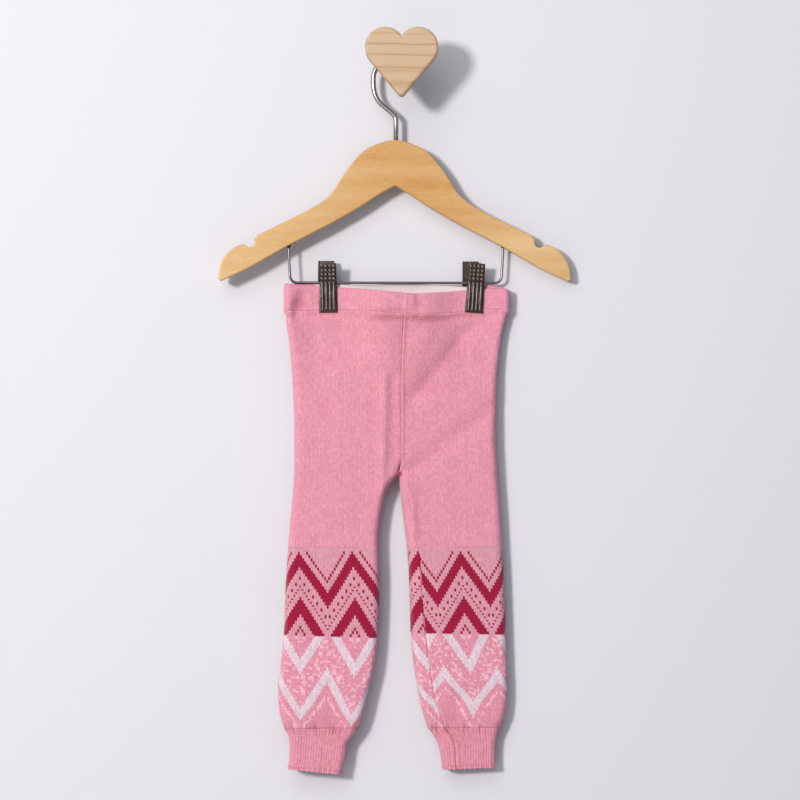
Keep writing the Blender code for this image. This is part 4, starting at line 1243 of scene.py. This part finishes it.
# what each shader sum is called, what it does, and the values or earlier sums that it takes
Sum = namedtuple("Sum", "result operation a b", defaults=(0.0,))
STITCH_LEAN = 1.3                # rows that a stitch's legs climb from its middle to its sides
STITCH_SUMS = [
    Sum("wale", "ROUND", "u"),
    Sum("off", "SUBTRACT", "u", "wale"),
    Sum("side", "ABSOLUTE", "off"),
    Sum("climb", "MULTIPLY", "side", STITCH_LEAN),
    Sum("slanted", "ADD", "v", "climb"),
    Sum("row", "FLOOR", "slanted"),
    Sum("along", "FRACT", "slanted"),
    Sum("across_share", "MULTIPLY", "side", 2.0 * 0.82 * math.pi),
    Sum("across_turn", "ADD", "across_share", 0.18 * math.pi),
    Sum("across", "SINE", "across_turn"),
    Sum("along_turn", "MULTIPLY", "along", math.pi),
    Sum("along_sine", "SINE", "along_turn"),
    Sum("along_part", "MULTIPLY", "along_sine", 0.5),
    Sum("along_height", "ADD", "along_part", 0.5),
    Sum("relief", "MULTIPLY", "across", "along_height"),
]
CHART_ROWS = 105.0               # of the chart: its second half mirrors the first
RAMP_START = 40.0                # rows that a chart's ramp keeps before its zigzag line
RAMP_ROWS = 100.0
CHART_SUMS = [
    Sum("from_peak", "PINGPONG", "wale", REPEAT / 2),
    Sum("mirrored", "SUBTRACT", CHART_ROWS, "row"),
    Sum("chart_row", "MINIMUM", "row", "mirrored"),
    Sum("zigzag", "MULTIPLY", "from_peak", 2.0),
    Sum("below", "SUBTRACT", "chart_row", "zigzag"),
    Sum("lifted", "ADD", "below", RAMP_START + 0.5),
    Sum("place", "DIVIDE", "lifted", RAMP_ROWS),
    Sum("nudged", "ADD", "from_peak", 0.25),
    Sum("odd", "MODULO", "nudged", 2.0),
    Sum("even", "LESS_THAN", "odd", 0.5),
    Sum("changing", "GREATER_THAN", "row", -3.5),
    Sum("in_chart", "GREATER_THAN", "row", -2.5),
    Sum("inked", "GREATER_THAN", "row", -0.5),
    Sum("in_lower", "GREATER_THAN", "row", CHART_ROWS / 2),
]
# the chart, as rows below the zigzag line: a line has every stitch, a dot every other wale, and specks
# fall by chance
ChartLine = namedtuple("ChartLine", "first last kind")
CRIMSON_LINES = [
    ChartLine(-8, -6, "line"), ChartLine(0, 10, "line"), ChartLine(16, 18, "dot"),
    ChartLine(22, 23, "line"), ChartLine(29, 40, "line"), ChartLine(47, 49, "line"),
]
PALE_LINES = [
    ChartLine(-9, -6, "dot"), ChartLine(0, 9, "line"), ChartLine(11, 28, "speck"),
    ChartLine(30, 39, "line"), ChartLine(47, 50, "dot"),
]
INKS = {"line": (1.0, 0.0, 0.0, 1.0), "dot": (0.0, 1.0, 0.0, 1.0), "speck": (0.0, 0.0, 1.0, 1.0)}
NO_INK = (0.0, 0.0, 0.0, 1.0)
# sizes of the yarn's chance patterns, as wales and rows, and of its fuzz in millimetres
CLOUD_SCALE = (0.11, 0.07, 1.0)  # soft patches 9 wales wide and 14 rows high
SLUB_SCALE = (1.1, 0.3, 1.0)     # thick and thin stretches of yarn, 3 rows high
FLECK_SCALE = 0.47               # flecks two stitches across
FIBRE = 0.384615                 # real fibres are finer: these are coarse enough to show


def run_sums(tree, values, sums):
    """Works out each sum in turn and keeps its socket under its name."""
    for step in sums:
        operands = {n: values.get(part, part) for n, part in enumerate((step.a, step.b))}
        node = add_node(tree, "Math", {"operation": step.operation}, operands)
        values[step.result] = node.outputs[0]
    return values


def chart_ramp(tree, place, lines):
    """A ramp with hard steps: red on a chart's lines, green on its dots and blue on its specks."""
    node = add_node(tree, "ValToRGB", {}, {0: place})
    ramp = node.color_ramp
    ramp.interpolation = "CONSTANT"
    ramp.elements.remove(ramp.elements[1])
    ramp.elements[0].position = 0.0
    ramp.elements[0].color = NO_INK
    for line in lines:
        ramp.elements.new((line.first + RAMP_START) / RAMP_ROWS).color = INKS[line.kind]
        ramp.elements.new((line.last + RAMP_START) / RAMP_ROWS).color = NO_INK
    return add_node(tree, "SeparateColor", {}, {0: node.outputs[0]})


def knit_start(tree):
    """The stitch that each point lies in, its relief, and random values for the stitch and its wale."""
    uv = add_node(tree, "UVMap", {"uv_map": "knit"}, {}).outputs[0]
    split = add_node(tree, "SeparateXYZ", {}, {0: uv})
    values = run_sums(tree, {"u": split.outputs["X"], "v": split.outputs["Y"]}, STITCH_SUMS)
    values["stitch"] = add_node(tree, "CombineXYZ", {}, {
        0: values["wale"], 1: values["row"]}).outputs[0]
    values["chance"] = add_node(tree, "TexWhiteNoise", {"noise_dimensions": "2D"}, {
        "Vector": values["stitch"]}).outputs["Value"]
    values["streak"] = add_node(tree, "TexWhiteNoise", {"noise_dimensions": "1D"}, {
        "W": values["wale"]}).outputs["Value"]
    for name, scale, detail in (("cloud", CLOUD_SCALE, 3.0), ("slub", SLUB_SCALE, 1.0)):
        stretched = add_node(tree, "Mapping", {}, {"Vector": uv, "Scale": scale})
        values[name] = add_node(tree, "TexNoise", {}, {
            "Vector": stretched.outputs[0], "Scale": 1.0, "Detail": detail}).outputs["Fac"]
    # each point's share of painted shade in its stitch hollows
    values["pull"] = add_node(tree, "Attribute", {"attribute_name": "pull"}, {}).outputs["Fac"]
    return values


def knit_surface(material, values, colour):
    """Tones a yarn colour by stitch and wale, paints shade in its stitch hollows, and raises the stitches."""
    tree = material.node_tree
    # painted shade and light: the stitch relief darkens the hollows and lightens the crests, the hollows
    # darker still where the cloth is drawn together
    painted_hollow = add_node(tree, "MapRange", {}, {
        "Value": values["pull"], "To Min": SLACK_HOLLOW_SHADE, "To Max": DRAWN_HOLLOW_SHADE})
    painted_crest = add_node(tree, "MapRange", {}, {
        "Value": values["pull"], "To Min": 1.05, "To Max": 0.88})
    factor = add_node(tree, "MapRange", {}, {
        "Value": values["relief"], "From Min": 0.1, "From Max": 0.8,
        "To Min": painted_hollow.outputs["Result"], "To Max": painted_crest.outputs["Result"]}).outputs["Result"]
    for source, low, high in YARN_TONES:
        tone = add_node(tree, "MapRange", {}, {
            "Value": values[source], "From Min": low[0], "From Max": high[0],
            "To Min": low[1], "To Max": high[1]})
        factor = add_node(tree, "Math", {"operation": "MULTIPLY"}, {
            0: factor, 1: tone.outputs["Result"]}).outputs[0]
    # painted shade: light that bounces between pink strands comes out pinker, so the painted hollows lose red
    # least
    fall = add_node(tree, "Math", {"operation": "SUBTRACT"}, {0: factor, 1: 1.0})
    tint = add_node(tree, "VectorMath", {"operation": "MULTIPLY_ADD"}, {
        0: fall.outputs[0], 1: HOLLOW_SHADE_TINT, 2: (1.0, 1.0, 1.0)})
    shaded = add_node(tree, "VectorMath", {"operation": "MULTIPLY"}, {0: colour, 1: tint.outputs[0]})
    place = add_node(tree, "TexCoord", {}, {}).outputs["Object"]
    fibres = add_node(tree, "TexNoise", {}, {
        "Vector": place, "Scale": 1.0 / (FIBRE * MM), "Detail": 2.0})
    fuzzy = add_node(tree, "Math", {"operation": "MULTIPLY_ADD"}, {
        0: fibres.outputs["Fac"], 1: 0.25, 2: values["relief"]})
    bump = add_node(tree, "Bump", {}, {
        "Strength": 0.6, "Distance": 0.6 * MM, "Height": fuzzy.outputs[0]})
    return set_surface(material, {
        "Base Color": shaded.outputs[0], "Normal": bump.outputs[0], "Roughness": 0.92,
        "Specular IOR Level": 0.2, "Sheen Weight": 0.25, "Sheen Roughness": 0.45})


def stranded_cotton():
    """Fine combed cotton, stranded in zigzags below the knee: matt, soft, each stitch a small V."""
    material = new_material("stranded_cotton_knit")
    tree = material.node_tree
    values = run_sums(tree, knit_start(tree), CHART_SUMS)
    values["fleck"] = add_node(tree, "TexNoise", {}, {
        "Vector": values["stitch"], "Scale": FLECK_SCALE, "Detail": 0.0}).outputs["Fac"]
    crimson, pale = [chart_ramp(tree, values["place"], lines) for lines in (CRIMSON_LINES, PALE_LINES)]
    values.update(crimson_line=crimson.outputs[0], crimson_dot=crimson.outputs[1],
                  pale_line=pale.outputs[0], pale_dot=pale.outputs[1], pale_speck=pale.outputs[2])
    run_sums(tree, values, [
        Sum("crimson_dots", "MULTIPLY", "crimson_dot", "even"),
        Sum("crimson_ink", "MAXIMUM", "crimson_line", "crimson_dots"),
        Sum("crimson", "MULTIPLY", "crimson_ink", "inked"),
        Sum("speckled", "GREATER_THAN", "chance", 0.72),
        Sum("heather_part", "MULTIPLY", "speckled", 0.3),
        Sum("thick_place", "GREATER_THAN", "cloud", 0.5),
        Sum("joined", "SUBTRACT", "changing", "in_chart"),
        Sum("float_seen", "MULTIPLY", "joined", "thick_place"),
        Sum("float_part", "MULTIPLY", "float_seen", 0.6),
        Sum("most", "GREATER_THAN", "chance", 0.2),
        Sum("few", "GREATER_THAN", "fleck", 0.57),
        Sum("dotted", "MULTIPLY", "pale_dot", "most"),
        Sum("flecked", "MULTIPLY", "pale_speck", "few"),
        Sum("sparkle", "MAXIMUM", "dotted", "flecked"),
    ])
    # each mixed colour: its name, the share of the second, and the two that it is made of. Where the
    # second yarn joins, its end floats behind and shows as a broken darker row
    colours = {"body": linear(BODY_PINK), "chart": linear(CHART_PINK), "lower_leg": linear(LOWER_PINK),
               "heather": linear(HEATHER_GREY), "crimson": linear(CRIMSON), "pale": linear(PALE_YARN),
               "sparkle": linear(SPARKLE_YARN)}
    for name, share, first, second in (("greyed", "heather_part", "chart", "heather"),
                                       ("floated", "float_part", "body", "heather"),
                                       ("upper_ground", "in_chart", "floated", "greyed"),
                                       ("upper", "crimson", "upper_ground", "crimson"),
                                       ("lower_ground", "sparkle", "lower_leg", "sparkle"),
                                       ("lower", "pale_line", "lower_ground", "pale"),
                                       ("whole", "in_lower", "upper", "lower")):
        colours[name] = add_node(tree, "Mix", {"data_type": "RGBA"}, {
            0: values[share], 6: colours[first], 7: colours[second]}).outputs[2]
    return knit_surface(material, values, colours["whole"])


chart_cotton = stranded_cotton()
for name, node, side, table, chart in (("left_leg", "leg_left", -1, LEFT_LEG, LEFT_CHART),
                                       ("right_leg", "leg_right", 1, RIGHT_LEG, RIGHT_CHART)):
    rows, closed_from = leg_mesh(side, table, chart)
    leg = add_shell(name, rows, closed_from, LEG_WALL, [chart_cotton], [node], side > 0)


# a bar tack at the crotch, where the four seams meet: three short stitches of crimson thread
TACK_RADIUS = 0.32
TACK_PINK = "#B5355A"
TACK_Y = -6.6
TACK_BOW = 0.9                   # how far a stitch stands out in its middle
TackRow = namedtuple("TackRow", "x0 z0 x1 z1")
TACK = [
    TackRow(0.6, -344.2, 4.0, -341.0),
    TackRow(1.4, -345.0, 4.2, -342.6),
    TackRow(2.6, -341.0, 4.4, -344.4),
]

thread = set_surface(new_material("crimson_sewing_thread"), {
    "Base Color": linear(TACK_PINK), "Roughness": 0.7})
for number, stitch in enumerate(TACK):
    start = Vector((stitch.x0, TACK_Y, stitch.z0))
    end = Vector((stitch.x1, TACK_Y, stitch.z1))
    middle = mix(start, end, 0.5) - Vector((0.0, TACK_BOW, 0.0))
    points, faces = wire_mesh([start, middle, end], TACK_RADIUS, sides=8)
    add_mesh("crotch_tack_%d" % number, [hung(point) for point in points], faces, [thread],
             [])


# ---------------------------------------------------------------- waistband
# A strip of the same knit folded over flat elastic and sewn round the top, so it is twice as thick and
# a little gathered. Its inside is faced in pale cream, which shows at the back between the clips.
BAND_WALL = 2.2
BAND_COLUMNS = 300
FACING_CREAM = "#D7C7C6"
BAND_LEAN = 2.0                  # wales that the knitting leans at the dimple by the left end
BAND_HIGH = 20.0
BAND_OVER_LEFT = 0.6             # how far it stands out past the legs at each end
BAND_OVER_RIGHT = 0.2
BAND_SEAM = 0.6                  # how strongly the centre seam shows, as a share of the legs'

# the wall in section: how far out of the plain loop, share of the way up, and which side it is on
ProfileRow = namedtuple("ProfileRow", "out height")
BAND_PROFILE = [
    ProfileRow(0.25, 0.0), ProfileRow(0.2, 0.05), ProfileRow(0.2, 0.14), ProfileRow(0.25, 0.25),
    ProfileRow(0.45, 0.4), ProfileRow(0.5, 0.55), ProfileRow(0.45, 0.7), ProfileRow(0.35, 0.82),
    ProfileRow(0.1, 0.91), ProfileRow(-0.3, 0.97), ProfileRow(-0.9, 1.0), ProfileRow(-1.5, 0.985),
    ProfileRow(-2.0, 0.94), ProfileRow(-BAND_WALL, 0.88), ProfileRow(-BAND_WALL, 0.6),
    ProfileRow(-BAND_WALL, 0.3), ProfileRow(-BAND_WALL, 0.0),
]
FACING_FROM = 11                 # the profile's rows from here on are faced, between the clips
FACING_HALF = 68.0


def plain_cotton(name, pink):
    """The same cotton in plain stocking stitch."""
    material = new_material(name)
    return knit_surface(material, knit_start(material.node_tree), linear(pink)[:3])


def band_mesh():
    """Rows of points round the waistband, from its foot up the outside and down the inside."""
    left = BODY[0].left - BAND_OVER_LEFT
    right = BODY[0].right + BAND_OVER_RIGHT
    section = round_section(across(left, right, 0.0, end_steps=12, flat_steps=90), waist_depth)
    lengths = reaches(section)
    total = lengths[-1]
    centres = [walk(section, lengths, total * n / BAND_COLUMNS) for n in range(BAND_COLUMNS + 1)]
    rows = []
    climb = 0.0
    for level, profile in enumerate(BAND_PROFILE):
        if level:
            earlier = BAND_PROFILE[level - 1]
            climb += math.hypot(profile.out - earlier.out, BAND_HIGH * (profile.height - earlier.height))
        row = KnitRow([], [], [])
        for place, (x, y) in enumerate(centres):
            out = outward(centres, place, 1, looped=True)
            face = "front" if y < 0.0 else "back"
            foot = read_table(BAND_EDGES, "x", face + "_foot", x)
            top = read_table(BAND_EDGES, "x", face + "_top", x)
            z = mix(foot, top, profile.height)
            seam_x = read_table(CENTRE_SEAM, "z", "x", z)
            from_seam = abs(x - seam_x)
            relief = profile.out + fold_rise(face, x, z)
            if level < FACING_FROM and from_seam < FINE_FROM_SEAM:
                relief += BAND_SEAM * centre_relief(1 if x > seam_x else -1, from_seam)
            if level < FACING_FROM:
                gathers = 0.3 * noise.noise(Vector((x * 0.5, 3.0 * profile.height, 2.0)))
                relief += gathers * (1.0 - profile.height)
            row.points.append(hung(Vector((x + out.x * relief, y + out.y * relief, z))))
            lean = swell(x, middle=-79.0, reach=8.0, rise=BAND_LEAN * (profile.height - 0.5))
            row.uvs.append((total * place / BAND_COLUMNS / WALE - lean, -climb / ROW))
            # painted shade in the stitch hollows where the band is drawn together, none on its inner rows
            row.pulls.append(hollow_shade_at(face, x, z) if level < FACING_FROM else 0.0)
        rows.append(row)
    return rows


rows = band_mesh()
facing = set_surface(new_material("cream_brushed_facing"), {
    "Base Color": linear(FACING_CREAM), "Roughness": 0.95, "Sheen Weight": 0.2})
band = add_shell("waistband_knit", rows + rows[:1], 0, BAND_WALL,
                 [plain_cotton("waistband_cotton_knit", BODY_PINK), facing],
                 ["waistband"], False)
for number, polygon in enumerate(band.data.polygons):
    faced = number // BAND_COLUMNS >= FACING_FROM and abs(polygon.center.x) < FACING_HALF * MM
    polygon.material_index = 1 if faced else 0


# ---------------------------------------------------------------- cuffs
# Tubes of one-by-one rib, knitted on where each leg narrows: raised wales with hollows between them,
# drawn in at the top, and cast off in a tight edge that stands out in small bumps.
CUFF_RIBS = 50                   # wales round a cuff: knit and purl in turn
CUFF_POINTS = 6                  # round each wale
RIB_RISE = 0.2
HEM_BUMP = 0.45                  # how far a knit wale stands out at the cast-off edge, and drops
HEM_WAVE = 0.5
EYELET_DEEP = 0.3
CUFF_TOP_DROPS = [0.0, 0.7, 1.5, 2.5]
CUFF_EVEN_FROM = 3.6             # even rows of points from here down to the hem
CUFF_EVEN_STEPS = 30
HEM_HIGH = 1.2
CUFF_WALL = 1.7
CUFF_PINK = "#DA8DA1"
CuffRow = namedtuple("CuffRow", "drop outer inner front back")
LEFT_CUFF = [
    CuffRow(0.0, -94.6, -31.4, 7.4, 6.6),
    CuffRow(6.5, -91.0, -36.4, 6.8, 6.2),
    CuffRow(14.5, -89.7, -41.8, 6.6, 6.2),
    CuffRow(26.0, -89.8, -43.4, 6.8, 6.4),
    CuffRow(38.6, -91.2, -46.2, 7.2, 6.8),
]
LEFT_CUFF_SLANT = 0.88
RIGHT_CUFF = [
    CuffRow(0.0, 88.6, 26.5, 7.4, 6.6),
    CuffRow(6.5, 85.6, 31.3, 6.8, 6.2),
    CuffRow(14.5, 84.2, 35.6, 6.6, 6.2),
    CuffRow(26.0, 83.8, 38.0, 6.8, 6.4),
    CuffRow(34.9, 84.1, 39.2, 7.2, 6.8),
]
RIGHT_CUFF_SLANT = 0.96
CUFF_INSEAM = [SeamRow(0.0, 41.5), SeamRow(-6.0, 45.7), SeamRow(-15.0, 49.5), SeamRow(-34.9, 50.7)]


def cuff_mesh(side, table, slant):
    """Rows of points down a cuff. Its hem slants: the outer edge falls by slant times the inner's fall."""
    columns = CUFF_RIBS * CUFF_POINTS
    foot = table[-1].drop
    drops = CUFF_TOP_DROPS + [mix(CUFF_EVEN_FROM, foot - HEM_HIGH, n / CUFF_EVEN_STEPS)
                              for n in range(CUFF_EVEN_STEPS + 1)]
    drops += [foot - 0.5, foot]
    rows = []
    for drop in drops:
        inner = read_table(table, "drop", "inner", drop)
        outer = read_table(table, "drop", "outer", drop)
        depth = {face: read_table(table, "drop", face, drop) for face in ("front", "back")}
        section = round_section(across(inner, outer, 0.0, end_steps=14, flat_steps=30),
                                lambda face, x: depth[face])
        lengths = reaches(section)
        start = 0.0
        if side > 0:
            start = reach_at(section, lengths, read_table(CUFF_INSEAM, "z", "x", -drop))
        centres = [walk(section, lengths, (start + lengths[-1] * n / columns) % lengths[-1])
                   for n in range(columns + 1)]
        row = KnitRow([], [], [])
        for place, (x, y) in enumerate(centres):
            out = outward(centres, place, side, looped=True)
            turn = 2.0 * math.pi * place / CUFF_POINTS
            rib = 0.5 - 0.5 * math.cos(turn)
            knit = 0.5 - 0.5 * math.sin(0.5 * turn)
            drawn = gather("front" if y < 0.0 else "back", x, CUFF_SEAM_Z - drop)
            hem = swell(foot - drop, middle=0.0, reach=1.4, rise=1.0)
            eyelet = swell(foot - drop, middle=2.2, reach=0.9, rise=1.0 - knit)
            relief = RIB_RISE * rib * mix(0.5, 1.0, knit) * smooth(drop / 4.0) + GATHER_RISE * drawn
            relief += hem * (HEM_BUMP * knit - 0.1) - EYELET_DEEP * eyelet
            if side > 0:
                from_seam = min(place, columns - place) * lengths[-1] / columns
                relief += crease_relief(from_seam, sunk=1.0, raised=0.8)
            share = min(1.0, max(0.0, (x - inner) / (outer - inner)))
            fall = drop * mix(1.0, slant, share * drop / foot) + hem * HEM_WAVE * knit
            z = CUFF_SEAM_Z - fall
            row.points.append(hung(Vector((x + out.x * relief, y + out.y * relief, z))))
            row.uvs.append((place / CUFF_POINTS + 0.5, drop / ROW))
            # painted shade in the stitch hollows, in the gathers' creases and in the eyelets above the hem
            row.pulls.append(min(1.0, max(-GATHER_SHADE * drawn, 0.9 * eyelet)))
        rows.append(row)
    return rows


cuff_cotton = plain_cotton("rib_cotton_knit", CUFF_PINK)
for name, node, side, table, slant in (("left_cuff", "cuff_left", -1, LEFT_CUFF, LEFT_CUFF_SLANT),
                                       ("right_cuff", "cuff_right", 1, RIGHT_CUFF, RIGHT_CUFF_SLANT)):
    rows = cuff_mesh(side, table, slant)
    cuff = add_shell(name, rows, 0, CUFF_WALL, [cuff_cotton], [node], side > 0)
